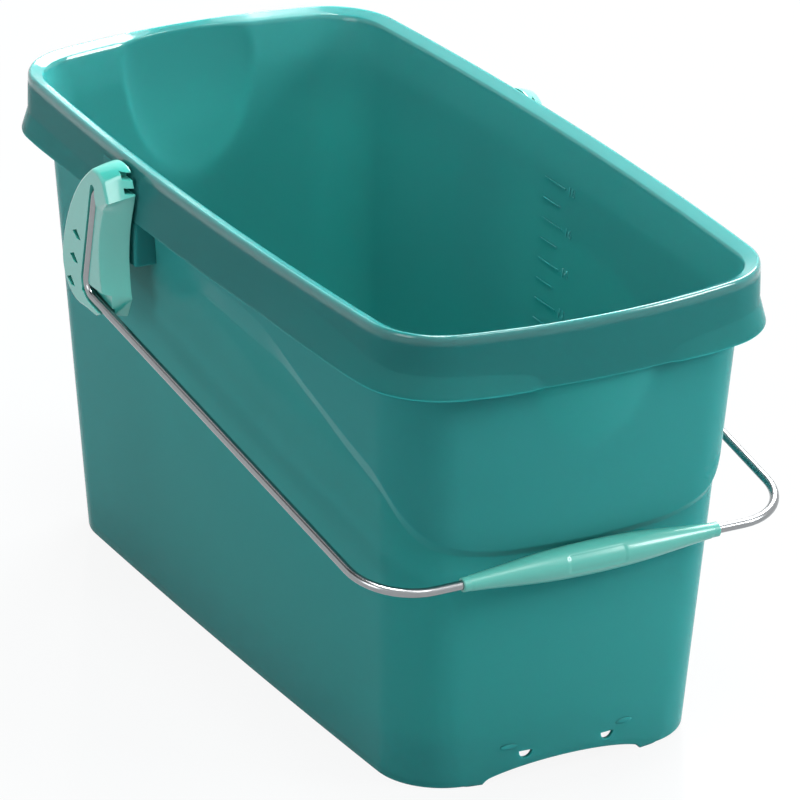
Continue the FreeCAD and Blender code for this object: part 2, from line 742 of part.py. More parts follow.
parts = [tub(), bail_wire(), clip("clip_left", -1), clip("clip_right", 1), grip()]
doc.recompute()
for item in doc.Objects:
    if "Invalid" in item.State or "Error" in item.State:
        raise RuntimeError(f"{item.Name} ({item.Label}) failed: {item.State}")
for part in parts:
    check(part)

os.makedirs("parts", exist_ok=True)
for part in parts:
    part.Shape.exportStep(os.path.join("parts", f"{part.Label}.step"))
    size = part.Shape.BoundBox
    print(f"{part.Label}: {len(part.Shape.Solids)} solid(s), {part.Shape.Volume:.0f} mm3, "
          f"{size.XLength:.1f} x {size.YLength:.1f} x {size.ZLength:.1f} mm")
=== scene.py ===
"""Oblong cleaning bucket: a moulded tub with a skirted rim and pouring spouts, and a bent
wire bail with two side clips and a turning grip.

Metres throughout, in the row frame: +Z up, X across the tub, Y along it, with the bail at
rest against the end wall at -Y. Sizes are written in millimetres times MM.
"""
import logging
import math
from dataclasses import dataclass
from enum import Enum

import bmesh
import bpy
import numpy as np
from mathutils import Matrix, Vector


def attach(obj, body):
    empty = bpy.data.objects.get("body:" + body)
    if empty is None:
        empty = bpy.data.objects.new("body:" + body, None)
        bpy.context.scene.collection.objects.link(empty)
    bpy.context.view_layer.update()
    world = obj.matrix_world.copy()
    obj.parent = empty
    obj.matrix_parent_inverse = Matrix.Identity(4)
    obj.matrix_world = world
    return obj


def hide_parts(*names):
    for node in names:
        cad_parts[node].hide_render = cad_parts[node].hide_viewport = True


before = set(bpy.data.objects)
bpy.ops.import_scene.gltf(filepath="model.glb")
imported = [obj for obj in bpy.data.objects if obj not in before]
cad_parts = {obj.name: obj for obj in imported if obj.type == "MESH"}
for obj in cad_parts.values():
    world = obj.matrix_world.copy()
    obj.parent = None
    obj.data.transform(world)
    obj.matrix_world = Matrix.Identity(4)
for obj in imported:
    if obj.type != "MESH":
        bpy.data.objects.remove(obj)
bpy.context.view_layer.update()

MM = 0.001
log = logging.getLogger("bucket")
Pair = tuple[float, float]
Pairs = tuple[Pair, ...]
Faces = list[tuple[int, ...]]
Socket = bpy.types.NodeSocket


class Side(Enum):
    """The two long sides of the tub."""

    LEFT = -1
    RIGHT = 1


class End(Enum):
    """The two end walls of the tub."""

    NEAR = -1
    FAR = 1


# Mesh helpers


def place_object(name: str, data: bpy.types.ID) -> bpy.types.Object:
    """Make an object at the origin from a mesh, a text, a light or a camera, and link it."""
    made = bpy.data.objects.new(name, data)
    bpy.context.scene.collection.objects.link(made)
    return made


def bridge(rows: int, count: int, start: int = 0, closed: bool = False) -> Faces:
    """Return the faces between rings of vertices that follow one another.

    Args:
        rows: number of rings.
        count: vertices in each ring.
        start: index of the first ring's first vertex.
        closed: whether the last ring joins the first.

    Returns:
        The faces, ring by ring.
    """
    faces = []
    for row in range(rows if closed else rows - 1):
        low, high = start + row * count, start + (row + 1) % rows * count
        for index in range(count):
            following = (index + 1) % count
            faces.append((low + index, low + following, high + following, high + index))
    return faces


def mesh_object(name: str, vertices: np.ndarray, faces: Faces) -> bpy.types.Object:
    """Make a mesh object at the origin.

    Args:
        name: the piece's name.
        vertices: places in the row frame, one row each.
        faces: vertex indices of each face, anticlockwise from outside.

    Returns:
        The linked object.
    """
    mesh = bpy.data.meshes.new(name)
    mesh.from_pydata([tuple(place) for place in vertices], [], faces)
    mesh.validate()
    return place_object(name, mesh)


def smooth_faces(piece: bpy.types.Object, crease: float) -> None:
    """Shade a piece smooth, with edges sharper than a crease angle in degrees kept sharp."""
    piece.data.polygons.foreach_set("use_smooth", [True] * len(piece.data.polygons))
    piece.data.set_sharp_from_angle(angle=math.radians(crease))


def settle(piece: bpy.types.Object) -> bpy.types.Object:
    """Turn a piece and its modifiers into one plain mesh.

    Args:
        piece: the object with its modifiers.

    Returns:
        The same object, with the evaluated mesh and no modifiers.
    """
    graph = bpy.context.evaluated_depsgraph_get()
    finished = bpy.data.meshes.new_from_object(piece.evaluated_get(graph))
    spent = piece.data
    piece.modifiers.clear()
    piece.data = finished
    bpy.data.meshes.remove(spent)
    return piece


def grow(piece: bpy.types.Object, tree: bpy.types.NodeTree) -> bpy.types.Object:
    """Run a geometry tree on a piece and keep what it makes as a plain mesh."""
    piece.modifiers.new("tree", "NODES").node_group = tree
    return settle(piece)


def round_edges(piece: bpy.types.Object, width: float, sharp: float = 30.0) -> None:
    """Add a bevel to the edges of a piece that are sharper than an angle in degrees."""
    bevel = piece.modifiers.new("edges", "BEVEL")
    bevel.width = width
    bevel.segments = 3
    bevel.limit_method = "ANGLE"
    bevel.angle_limit = math.radians(sharp)


def carve(piece: bpy.types.Object, cutters: list[bpy.types.Object]) -> bpy.types.Object:
    """Cut closed solids out of a piece and remove the cutters.

    Args:
        piece: the solid that is cut.
        cutters: the solids that are taken away.

    Returns:
        The piece with the cuts in its mesh.
    """
    for cutter in cutters:
        cut = piece.modifiers.new(cutter.name, "BOOLEAN")
        cut.operation = "DIFFERENCE"
        cut.solver = "EXACT"
        cut.object = cutter
    settle(piece)
    for cutter in cutters:
        bpy.data.meshes.remove(cutter.data)
    return piece


def prism(name: str, outline: list[Pair], low: float, high: float,
          frame_of: Matrix, top: list[Pair] | None = None) -> bpy.types.Object:
    """Make a closed prism over a flat outline.

    Args:
        name: the object's name.
        outline: anticlockwise corners in the prism's own plane.
        low: where the prism starts along its own third axis.
        high: where it ends.
        frame_of: turns and moves the prism's axes into the row frame.
        top: corners at its end, where they differ from those at its start.

    Returns:
        The prism, with its faces outwards.
    """
    count = len(outline)
    places = [frame_of @ Vector((a, b, level))
              for level, corners in ((low, outline), (high, top or outline)) for a, b in corners]
    caps = [tuple(range(count, 2 * count)), tuple(reversed(range(count)))]
    solid = mesh_object(name, np.array(places), caps + bridge(2, count))
    face_outwards(solid)
    return solid


def lengthwise(side: Side) -> Matrix:
    """Return the frame of a prism that runs along the tub: X towards a side, Z, then Y."""
    return Matrix(((side.value, 0, 0, 0), (0, 0, 1, 0), (0, 1, 0, 0), (0, 0, 0, 1)))


def face_outwards(piece: bpy.types.Object) -> None:
    """Turn every face of a closed mesh outwards."""
    work = bmesh.new()
    work.from_mesh(piece.data)
    bmesh.ops.recalc_face_normals(work, faces=work.faces)
    work.to_mesh(piece.data)
    work.free()


def arc_points(start: Pair, end: Pair, radius: float,
               left: bool, steps: int) -> list[Pair]:
    """Sample the short arc between two points.

    Args:
        start: first point, which is included.
        end: last point, which is left out.
        radius: the arc's radius.
        left: whether its centre lies left of the way from start to end.
        steps: number of stretches.

    Returns:
        The points along the arc.
    """
    chord = Vector(end) - Vector(start)
    height = math.sqrt(radius ** 2 - (chord.length / 2) ** 2)
    normal = Vector((-chord.y, chord.x)).normalized()
    centre = (Vector(start) + Vector(end)) / 2 + normal * (height if left else -height)
    first = math.atan2(start[1] - centre.y, start[0] - centre.x)
    last = math.atan2(end[1] - centre.y, end[0] - centre.x)
    turn = (last - first + math.pi) % (2 * math.pi) - math.pi
    angles = [first + turn * step / steps for step in range(steps)]
    return [(centre.x + radius * math.cos(a), centre.y + radius * math.sin(a)) for a in angles]


def straight(start: Pair, end: Pair,
             steps: int) -> list[Pair]:
    """Return evenly spaced points from a start, which is included, to an end, which isn't."""
    shares = [step / steps for step in range(steps)]
    return [(start[0] + (end[0] - start[0]) * t, start[1] + (end[1] - start[1]) * t)
            for t in shares]


def smooth_max(first: np.ndarray, second: np.ndarray, blend: float) -> np.ndarray:
    """Return the larger of two fields, rounded off where they cross."""
    return (first + second + np.sqrt((first - second) ** 2 + blend ** 2)) / 2


def ease(value: np.ndarray, low: float, high: float) -> np.ndarray:
    """Return a smooth rise from 0 at low to 1 at high; low may be the larger."""
    share = np.clip((value - low) / (high - low), 0.0, 1.0)
    return share * share * (3 - 2 * share)


# Finishes


class Finish(Enum):
    """The finishes of the bucket, by the record's material slot."""

    TUB = "tub_plastic"
    STEEL = "bail_steel"
    CLIP = "clip_plastic"
    GRIP = "grip_plastic"


@dataclass(frozen=True)
class Plastic:
    """A moulded plastic: its colour, how even and glossy it is, how light passes in it, and where
    painted shade darkens its colour.
    """

    finish: Finish
    colour: tuple[float, float, float]
    depth_colour: tuple[float, float, float]
    roughness: float
    specular: float
    grain: float
    haze: float
    haze_reach: float
    coat: float = 0.0
    polish_from: float | None = None
    # Painted shade: above this height, faces looking outwards or down have their colour multiplied
    # darker by the tone below
    painted_shade_from: float | None = None
    polish_blend: float = 3.0 * MM
    painted_shade_blend: float = 1.0 * MM
    painted_shade_tone: float = 0.64
    coat_roughness: float = 0.10
    refraction: float = 1.49
    haze_tint: tuple[float, float, float] = (0.25, 1.0, 0.95)
    bump: float = 0.25
    bump_depth: float = 0.2 * MM


@dataclass(frozen=True)
class Steel:
    """A plated steel wire: its colour and gloss."""

    finish: Finish
    colour: tuple[float, float, float]
    roughness: float
    streak: float
    dark_share: float = 0.86


# The tub's skirt and rim top are painted darker, as painted shade, above the height given here
TUB_PLASTIC = Plastic(Finish.TUB, (0.034, 0.245, 0.238), (0.029, 0.220, 0.213), 0.20, 0.02,
                      0.06, 1.0, 7.0 * MM, polish_from=263.5 * MM, painted_shade_from=234.0 * MM)
CLIP_PLASTIC = Plastic(Finish.CLIP, (0.060, 0.430, 0.365), (0.052, 0.400, 0.340), 0.22, 0.70,
                       0.05, 0.3, 2.0 * MM, coat=0.7)
GRIP_PLASTIC = Plastic(Finish.GRIP, (0.082, 0.362, 0.308), (0.074, 0.336, 0.286), 0.30, 0.50,
                       0.05, 0.3, 2.0 * MM, coat=0.15)
WIRE_STEEL = Steel(Finish.STEEL, (0.31, 0.325, 0.335), 0.22, 0.10)
# How the painted shade mask weighs upward faces, and the range of the surface's outward share: faces
# looking outwards or down get the painted shade
SHADE_FACING_DROP = 30.0 * MM
SHADE_FACING_RANGE = (-90.0 * MM, 30.0 * MM)


class NodeTree:
    """A shader or geometry tree that is wired by short calls."""

    def __init__(self, tree: bpy.types.NodeTree) -> None:
        """Keep the tree and empty it."""
        self.tree = tree
        tree.nodes.clear()

    @classmethod
    def group(cls, name: str, kind: str, inputs: dict[str, tuple[str, object]],
              outputs: dict[str, str]) -> "NodeTree":
        """Start a named group.

        Args:
            name: the group's name.
            kind: "Shader" or "Geometry".
            inputs: each input's kind of socket, and its value where none is wired, if any.
            outputs: each output's kind of socket.

        Returns:
            The tree, with its sockets and no nodes.
        """
        made = cls(bpy.data.node_groups.new(name, f"{kind}NodeTree"))
        face = made.tree.interface
        for title, (socket, value) in inputs.items():
            given = face.new_socket(name=title, in_out="INPUT", socket_type=f"NodeSocket{socket}")
            if value is not None:
                given.default_value = value
        for title, socket in outputs.items():
            face.new_socket(name=title, in_out="OUTPUT", socket_type=f"NodeSocket{socket}")
        return made

    def add(self, kind: str, sockets: dict[str | int, object] | None = None,
            **settings: object) -> bpy.types.Node:
        """Add a node.

        Args:
            kind: Blender's node type.
            sockets: what each input gets: the socket that it is wired to, or its own value.
            settings: attributes of the node, set by name.

        Returns:
            The new node.
        """
        node = self.tree.nodes.new(kind)
        for name, setting in settings.items():
            setattr(node, name, setting)
        for name, given in (sockets or {}).items():
            if isinstance(given, Socket):
                self.tree.links.new(given, node.inputs[name])
            else:
                node.inputs[name].default_value = given
        return node

    def calculate(self, operation: str, first: object, second: object) -> Socket:
        """Return the result of an operation on two sockets or values."""
        return self.add("ShaderNodeMath", {0: first, 1: second}, operation=operation).outputs[0]

    def noise(self, place: Socket, scale: float, detail: float,
              distortion: float = 0.0) -> Socket:
        """Return the strength of a noise texture at a place."""
        return self.add("ShaderNodeTexNoise", {"Vector": place, "Scale": scale, "Detail": detail,
                                               "Distortion": distortion}).outputs["Fac"]

    def rescale(self, value: Socket, low: float, high: float, start: float = 0.0,
                end: float = 1.0, **settings: object) -> Socket:
        """Return a value whose range from low to high is carried to start and end."""
        sockets = {"Value": value, "From Min": low, "From Max": high, "To Min": start,
                   "To Max": end}
        return self.add("ShaderNodeMapRange", sockets, **settings).outputs["Result"]

    def blend(self, share: Socket, first: object, second: object,
              **settings: object) -> Socket:
        """Return a colour between two colours, each a socket or a value."""
        return self.add("ShaderNodeMix", {0: share, 6: first, 7: second}, data_type="RGBA",
                        **settings).outputs[2]

    def close(self, geometry: Socket,
              material: bpy.types.Material) -> bpy.types.NodeTree:
        """End a geometry group: make its copies real, set their finish and give them out."""
        real = self.add("GeometryNodeRealizeInstances", {"Geometry": geometry}).outputs[0]
        paint = self.add("GeometryNodeSetMaterial", {"Geometry": real, "Material": material})
        self.add("NodeGroupOutput", {"Geometry": paint.outputs[0]})
        return self.tree


def new_material(name: str) -> tuple[bpy.types.Material, NodeTree]:
    """Make a material and return it with its empty tree."""
    material = bpy.data.materials.new(name)
    material.use_nodes = True
    return material, NodeTree(material.node_tree)


def moulded_skin() -> bpy.types.NodeTree:
    """Build the shader group of an injection moulded skin.

    Returns:
        A group that takes two colours, a roughness and a grain, and gives the colour with
        faint flow marks, the roughness with wiped patches, and the height of the fine grain.
    """
    tree = NodeTree.group(
        "moulded_skin", "Shader",
        {"Colour": ("Color", None), "Depth Colour": ("Color", None),
         "Roughness": ("Float", 0.3), "Grain": ("Float", 0.05)},
        {"Colour": "Color", "Roughness": "Float", "Height": "Float"})
    given = tree.add("NodeGroupInput").outputs
    place = tree.add("ShaderNodeTexCoord").outputs["Object"]
    flow = tree.noise(place, scale=5.0, detail=3.0, distortion=0.6)
    patches = tree.noise(place, scale=28.0, detail=4.0)
    spread = tree.rescale(patches, low=0.3, high=0.7, start=-0.03, end=0.03)
    grain = tree.noise(place, scale=900.0, detail=2.0)
    tree.add("NodeGroupOutput", {
        "Colour": tree.blend(flow, given["Colour"], given["Depth Colour"]),
        "Roughness": tree.calculate("ADD", given["Roughness"], spread),
        "Height": tree.calculate("MULTIPLY", grain, given["Grain"])})
    return tree.tree


def rise_mask(tree: NodeTree, place: bpy.types.Node, level: float,
              blend: float) -> Socket:
    """Return a mask that goes from 0 to 1 as the object's height passes a level."""
    parts = tree.add("ShaderNodeSeparateXYZ", {0: place.outputs["Object"]}).outputs
    return tree.rescale(parts["Z"], level, level + blend, interpolation_type="SMOOTHSTEP")


def painted_shade_facing(tree: NodeTree, place: bpy.types.Node) -> Socket:
    """Return the painted shade mask by facing: 1 where the surface faces outwards or down, part of 1
    where it faces up.
    """
    sockets = {0: place.outputs["Object"], 1: (1.0, 1.0, 0.0), 2: (0.0, 0.0, -SHADE_FACING_DROP)}
    away = tree.add("ShaderNodeVectorMath", sockets, operation="MULTIPLY_ADD").outputs[0]
    facing = tree.add("ShaderNodeVectorMath", {0: away, 1: place.outputs["Normal"]},
                      operation="DOT_PRODUCT")
    return tree.rescale(facing.outputs["Value"], *SHADE_FACING_RANGE, interpolation_type="SMOOTHSTEP")


def plastic_material(plastic: Plastic, skin: bpy.types.NodeTree) -> bpy.types.Material:
    """Build the material of a moulded plastic.

    Args:
        plastic: its colour and gloss.
        skin: the group that gives moulded surfaces their small unevenness.

    Returns:
        The material.
    """
    material, tree = new_material(plastic.finish.value)
    effect = tree.add("ShaderNodeGroup", {
        "Colour": (*plastic.colour, 1.0), "Depth Colour": (*plastic.depth_colour, 1.0),
        "Roughness": plastic.roughness, "Grain": plastic.grain}, node_tree=skin).outputs
    bump = tree.add("ShaderNodeBump", {"Strength": plastic.bump, "Distance": plastic.bump_depth,
                                       "Height": effect["Height"]})
    place = tree.add("ShaderNodeTexCoord")
    colour, coat = effect["Colour"], plastic.coat
    if plastic.polish_from is not None:
        coat = rise_mask(tree, place, plastic.polish_from, plastic.polish_blend)
    # Painted shade: the colour is multiplied darker above a height on faces that look outwards or
    # down, standing in for the shade on the skirt and rim top
    if plastic.painted_shade_from is not None:
        painted_shade_above = rise_mask(tree, place, plastic.painted_shade_from, plastic.painted_shade_blend)
        both = tree.calculate("MULTIPLY", painted_shade_above, painted_shade_facing(tree, place))
        colour = tree.blend(both, colour, (*[plastic.painted_shade_tone] * 3, 1.0),
                            blend_type="MULTIPLY")
    surface = tree.add("ShaderNodeBsdfPrincipled", {
        "Base Color": colour, "Roughness": effect["Roughness"], "Normal": bump.outputs["Normal"],
        "Specular IOR Level": plastic.specular, "IOR": plastic.refraction,
        "Subsurface Weight": plastic.haze, "Subsurface Radius": plastic.haze_tint,
        "Subsurface Scale": plastic.haze_reach, "Coat Weight": coat,
        "Coat Roughness": plastic.coat_roughness})
    tree.add("ShaderNodeOutputMaterial", {"Surface": surface.outputs["BSDF"]})
    return material


def steel_material(steel: Steel) -> bpy.types.Material:
    """Build the material of the plated wire, with fine streaks from drawing it."""
    material, tree = new_material(steel.finish.value)
    place = tree.add("ShaderNodeTexCoord").outputs["Object"]
    streaks = tree.noise(place, scale=260.0, detail=5.0)
    half = steel.streak / 2
    dark = [channel * steel.dark_share for channel in steel.colour]
    surface = tree.add("ShaderNodeBsdfPrincipled", {
        "Roughness": tree.rescale(streaks, 0.0, 1.0, steel.roughness - half,
                                  steel.roughness + half),
        "Base Color": tree.blend(streaks, (*steel.colour, 1.0), (*dark, 1.0)),
        "Metallic": 1.0})
    tree.add("ShaderNodeOutputMaterial", {"Surface": surface.outputs["BSDF"]})
    return material


class Finishes:
    """All materials of the bucket, built once."""

    def __init__(self) -> None:
        """Build the shared group and every material."""
        skin = moulded_skin()
        self.materials = {plastic.finish: plastic_material(plastic, skin)
                          for plastic in (TUB_PLASTIC, CLIP_PLASTIC, GRIP_PLASTIC)}
        self.materials[Finish.STEEL] = steel_material(WIRE_STEEL)

    def dress(self, piece: bpy.types.Object, finish: Finish, body: str, *nodes: str) -> None:
        """Give a piece its material, its body and the CAD nodes it stands for.

        Args:
            piece: the finished piece.
            finish: which finish it has.
            body: the CAD body that carries it.
            nodes: CAD nodes that it replaces.
        """
        piece.data.materials.clear()
        piece.data.materials.append(self.materials[finish])
        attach(piece, body)
        if nodes:
            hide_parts(*nodes)
        log.info("%s: %d faces on %s", piece.name, len(piece.data.polygons), body)


# Tub


@dataclass(frozen=True)
class Stations:
    """Places round an outline: which of its eight arcs each is on, and how far along."""

    arc: np.ndarray
    share: np.ndarray

    @staticmethod
    def spread(side: int, corner: int, end: int) -> "Stations":
        """Spread places evenly on each arc.

        Args:
            side: places on each long side.
            corner: places on each corner.
            end: places on each end.

        Returns:
            The stations, anticlockwise from above, starting on the right side.
        """
        counts = (side, corner, end, corner) * 2
        arc = np.concatenate([np.full(count, index) for index, count in enumerate(counts)])
        share = np.concatenate([np.arange(count) / count for count in counts])
        return Stations(arc, share)


@dataclass(frozen=True)
class Outline:
    """A level rectangle with bowed sides and round corners: eight tangent arcs."""

    length: float
    width: float
    end_bow: float
    side_bow: float
    corner: float
    level: float

    def arcs(self) -> np.ndarray:
        """Return one row per arc: centre x, centre y, radius, first angle, last angle."""
        half_width, half_length, corner = self.width / 2, self.length / 2, self.corner
        side = ((half_length - corner) ** 2 + self.side_bow ** 2) / (2 * self.side_bow)
        end = ((half_width - corner) ** 2 + self.end_bow ** 2) / (2 * self.end_bow)
        aside, back = side - half_width - self.side_bow, end - half_length - self.end_bow
        gap = math.hypot(aside, back)
        near, far = side - corner, end - corner
        along = (near ** 2 - far ** 2 + gap ** 2) / (2 * gap)
        across = math.sqrt(near ** 2 - along ** 2)
        x = -aside + (along * aside + across * back) / gap
        y = (-along * back + across * aside) / gap
        turn, rise = math.atan2(y, x + aside), math.atan2(y + back, x)
        half = math.pi
        return np.array([
            (-aside, 0, side, -turn, turn),
            (x, y, corner, turn, rise),
            (0, -back, end, rise, half - rise),
            (-x, y, corner, half - rise, half - turn),
            (aside, 0, side, half - turn, half + turn),
            (-x, -y, corner, half + turn, half + rise),
            (0, back, end, half + rise, 2 * half - rise),
            (x, -y, corner, 2 * half - rise, 2 * half - turn),
        ])

    def directions(self, stations: Stations) -> np.ndarray:
        """Return the outward direction at each station, one row each."""
        arcs = self.arcs()[stations.arc]
        angle = arcs[:, 3] + (arcs[:, 4] - arcs[:, 3]) * stations.share
        return np.stack([np.cos(angle), np.sin(angle), np.zeros_like(angle)], axis=1)

    def places(self, stations: Stations) -> np.ndarray:
        """Return the place of each station, one row each."""
        arcs = self.arcs()[stations.arc]
        centres = np.stack([arcs[:, 0], arcs[:, 1], np.full(len(arcs), self.level)], axis=1)
        return centres + self.directions(stations) * arcs[:, 2:3]


@dataclass
class Tub:
    """The moulded tub: a shell whose profile runs from the floor over the rim to the foot."""

    height: float = 270.0 * MM
    base_length: float = 411.8 * MM
    base_width: float = 179.6 * MM
    base_end_bow: float = 4.0 * MM
    base_side_bow: float = 2.0 * MM
    top_length: float = 453.0 * MM
    top_width: float = 209.0 * MM
    wall_corner: float = 38.0 * MM
    wall: float = 2.5 * MM
    foot_height: float = 20.0 * MM
    floor_plate: float = 2.6 * MM
    floor_round: float = 9.0 * MM
    rim_length: float = 471.0 * MM
    rim_width: float = 226.5 * MM
    rim_corner: float = 43.5 * MM
    end_bow: float = 6.6 * MM
    side_bow: float = 6.9 * MM
    rim_drop: float = 2.5 * MM
    rim_plate: float = 2.6 * MM
    band_width: float = 8.3 * MM
    shoulder_reach: float = 1.8 * MM
    shoulder_fall: float = 3.0 * MM
    skirt_depth: float = 34.0 * MM
    skirt_flare: float = 0.4 * MM
    skirt_wall: float = 2.4 * MM
    flare_depth: float = 28.0 * MM
    flare_gap: float = 1.0 * MM
    edge_round: float = 0.5 * MM
    flare_power: float = 1.3
    lip_turn_share: float = 0.9
    lip_share: float = 0.02
    lip_sink: float = 0.1 * MM
    # Spouts
    spout_half_width: float = 42.0 * MM
    spout_depth: float = 85.0 * MM
    spout_bulge: float = 11.0 * MM
    spout_sink: float = 3.6 * MM
    spout_blend: float = 0.9 * MM
    spout_skirt_gap: float = 0.4 * MM
    spout_margin: float = 3.0 * MM
    # Ledge facet: its upper and lower border, as distance round the wall from the middle of
    # the near end, and height
    ledge_top: Pairs = (
        (0, 139.5), (47, 140), (63, 142), (76, 146), (85, 149), (94, 157), (101, 163), (106, 171),
        (118, 181), (143, 189), (164, 197), (183, 203.5), (197, 209.5), (212, 216.5), (226, 221.5),
        (252, 225.5), (300, 226))
    ledge_foot: Pairs = (
        (0, 135.5), (47, 136), (63, 138), (77, 141), (85, 143), (98, 152.5), (104, 160),
        (111, 168.5), (133, 176.5), (155, 184.5), (174, 193), (193, 199.5), (202, 203),
        (213, 206), (229, 207), (262, 210), (300, 213))
    ledge_step: float = 2.3 * MM
    ledge_crease: float = 0.4 * MM
    ledge_soft: float = 6.0 * MM
    ledge_fade: Pair = (320.0 * MM, 270.0 * MM)
    # Kicked-out lower part of the skirt at each corner, near and far: the same way round
    near_kick_line: Pairs = (
        (36, 2.4), (37.5, 4.5), (40, 7), (46, 9.2), (60, 10.8), (78, 12), (95, 12.6), (114, 12.2),
        (124, 14), (142, 16), (157, 18), (171, 20), (194, 22), (231, 20), (300, 20))
    far_kick_line: Pairs = (
        (36, 2.4), (37.5, 4.5), (40, 7), (46, 9.2), (60, 10.8), (100, 12), (160, 12), (230, 12))
    kick: float = 3.4 * MM
    kick_crease: float = 0.35 * MM
    kick_soft: float = 2.0 * MM
    kick_fade: Pairs = (
        (37, 0.0), (44, 0.6), (60, 1.0), (150, 1.0), (200, 0.5), (240, 0.0))
    # Foot
    arch_half_width: float = 50.0 * MM
    arch_height: float = 9.2 * MM
    arch_power: float = 0.75
    pad_inner: float = 46.5 * MM
    pad_outer: float = 56.0 * MM
    pad_lift: float = 0.5 * MM
    pad_slopes: Pair = (1.0 * MM, 2.0 * MM)
    base_round: float = 1.2 * MM
    foot_crease: Pair = (0.2 * MM, 0.3 * MM)
    foot_fillet: float = 1.0 * MM
    drain_reach: float = 24.5 * MM
    drain_top: float = 17.0 * MM
    drain_width: float = 8.0 * MM
    drain_depth: float = 4.6 * MM
    drain_cut: Pair = (196.0 * MM, 220.0 * MM)
    # Mesh density: places round each outline, and where the rings lie
    side_steps: int = 92
    corner_steps: int = 22
    end_steps: int = 66
    wall_rows: int = 26
    spout_rows: int = 22
    outer_rows: int = 36
    floor_shares: tuple[float, ...] = (0.04, 0.15, 0.3, 0.45, 0.6, 0.75, 0.88, 1.0)
    foot_shares: tuple[float, ...] = (0.85, 0.65, 0.45, 0.25, 0.06)
    skirt_drops: tuple[float, ...] = (23.0 * MM, 14.0 * MM, 6.0 * MM, 0.8 * MM)
    roof_levels: tuple[float, ...] = (258.0 * MM, 252.0 * MM, 247.0 * MM)

    def __post_init__(self) -> None:
        """Place the stations and measure the distance round the tub at each."""
        self.stations = Stations.spread(self.side_steps, self.corner_steps, self.end_steps)
        self.ends = np.isin(self.stations.arc, (2, 6))
        self.near = self.rim(self.height, 0.0).places(self.stations)[:, 1] < 0
        self.wall_way = self.way_round(self.wall_at(self.height / 2, 0.0), End.NEAR)
        near_way = self.way_round(self.rim(self.height, 0.0), End.NEAR)
        far_way = self.way_round(self.rim(self.height, 0.0), End.FAR)
        self.kick_rise = np.where(self.near, self.line(self.near_kick_line, near_way, self.kick_soft),
                                  self.line(self.far_kick_line, far_way, self.kick_soft))
        end_way = np.where(self.near, near_way, far_way) / MM
        self.kick_amount = self.kick * np.interp(end_way, *np.array(self.kick_fade).T)
        self.ledge_upper = self.line(self.ledge_top, self.wall_way, self.ledge_soft)
        self.ledge_lower = self.line(self.ledge_foot, self.wall_way, self.ledge_soft)

    @property
    def flare_start(self) -> float:
        """Return the level where the wall begins to flare out to the rim."""
        return self.height - self.flare_depth

    @property
    def skirt_edge(self) -> float:
        """Return the level of the skirt's lower edge."""
        return self.height - self.skirt_depth

    def way_round(self, outline: Outline, end: End) -> np.ndarray:
        """Measure how far each station is from the middle of an end, along the outline.

        Args:
            outline: the outline that is followed.
            end: the end wall it starts from.

        Returns:
            The shorter way round, for each station.
        """
        places = outline.places(self.stations)
        steps = np.linalg.norm(np.roll(places, -1, axis=0) - places, axis=1)
        way = np.concatenate([[0.0], np.cumsum(steps)[:-1]])
        middle = way[np.argmin(np.abs(places[:, 0]) - end.value * places[:, 1] * 10)]
        away = np.abs(way - middle)
        return np.minimum(away, steps.sum() - away)

    def line(self, points: Pairs, way: np.ndarray,
             soft: float) -> np.ndarray:
        """Read a line drawn round the tub, with its corners softened.

        Args:
            points: distance round and height, in millimetres.
            way: the distance round at each station.
            soft: how far the line is averaged each way.

        Returns:
            The line's height at each station.
        """
        reach, rise = np.array(points).T * MM
        shifts = np.linspace(-soft, soft, 7)
        return np.mean([np.interp(np.abs(way + shift), reach, rise) for shift in shifts], axis=0)

    def wall_at(self, level: float, inset: float) -> Outline:
        """Return the wall's outline at a level, moved in by an inset."""
        share = level / self.height

        def between(low: float, high: float) -> float:
            """Return the value at the level of a size that changes with height."""
            return low + (high - low) * share

        return Outline(between(self.base_length, self.top_length) - 2 * inset,
                       between(self.base_width, self.top_width) - 2 * inset,
                       between(self.base_end_bow, self.end_bow),
                       between(self.base_side_bow, self.side_bow),
                       self.wall_corner - inset, level)

    def rim(self, level: float, inset: float) -> Outline:
        """Return the skirt's outline at a level, moved in by an inset."""
        return self.mouth(level, inset - self.skirt_flare * (self.height - level)
                          / self.skirt_depth)

    def mouth(self, level: float, inset: float) -> Outline:
        """Return the rim's outline without its flare, moved in by an inset."""
        return Outline(self.rim_length - 2 * inset, self.rim_width - 2 * inset,
                       self.end_bow, self.side_bow, self.rim_corner - inset, level)

    def spouted(self, places: np.ndarray, inset: float) -> np.ndarray:
        """Bulge the end walls outwards into the pouring spouts.

        Args:
            places: one ring of the shell.
            inset: how far the ring lies inside the wall's outer face.

        Returns:
            The ring with its spouts.
        """
        lean = (self.top_length / 2 + self.end_bow - self.base_length / 2
                - self.base_end_bow) / self.height
        depth = self.height - self.rim_drop - places[:, 2]
        round_x = (places[:, 0] / self.spout_half_width) ** 2
        round_z = (np.maximum(depth, 0.0) / self.spout_depth) ** 2
        swell = self.spout_bulge * np.sqrt(np.clip(1.0 - round_x - round_z, 0.0, None))
        face = self.top_length / 2 + self.end_bow - self.spout_sink - inset - depth * lean + swell
        reach = np.abs(places[:, 1])
        bulged = smooth_max(reach, face, self.spout_blend)
        chosen = self.ends & (swell > 0.0)
        result = places.copy()
        result[:, 1] = np.where(chosen, np.sign(places[:, 1]) * bulged, places[:, 1])
        return result

    def ring(self, outline: Outline) -> np.ndarray:
        """Return the stations' places on an outline."""
        return outline.places(self.stations)

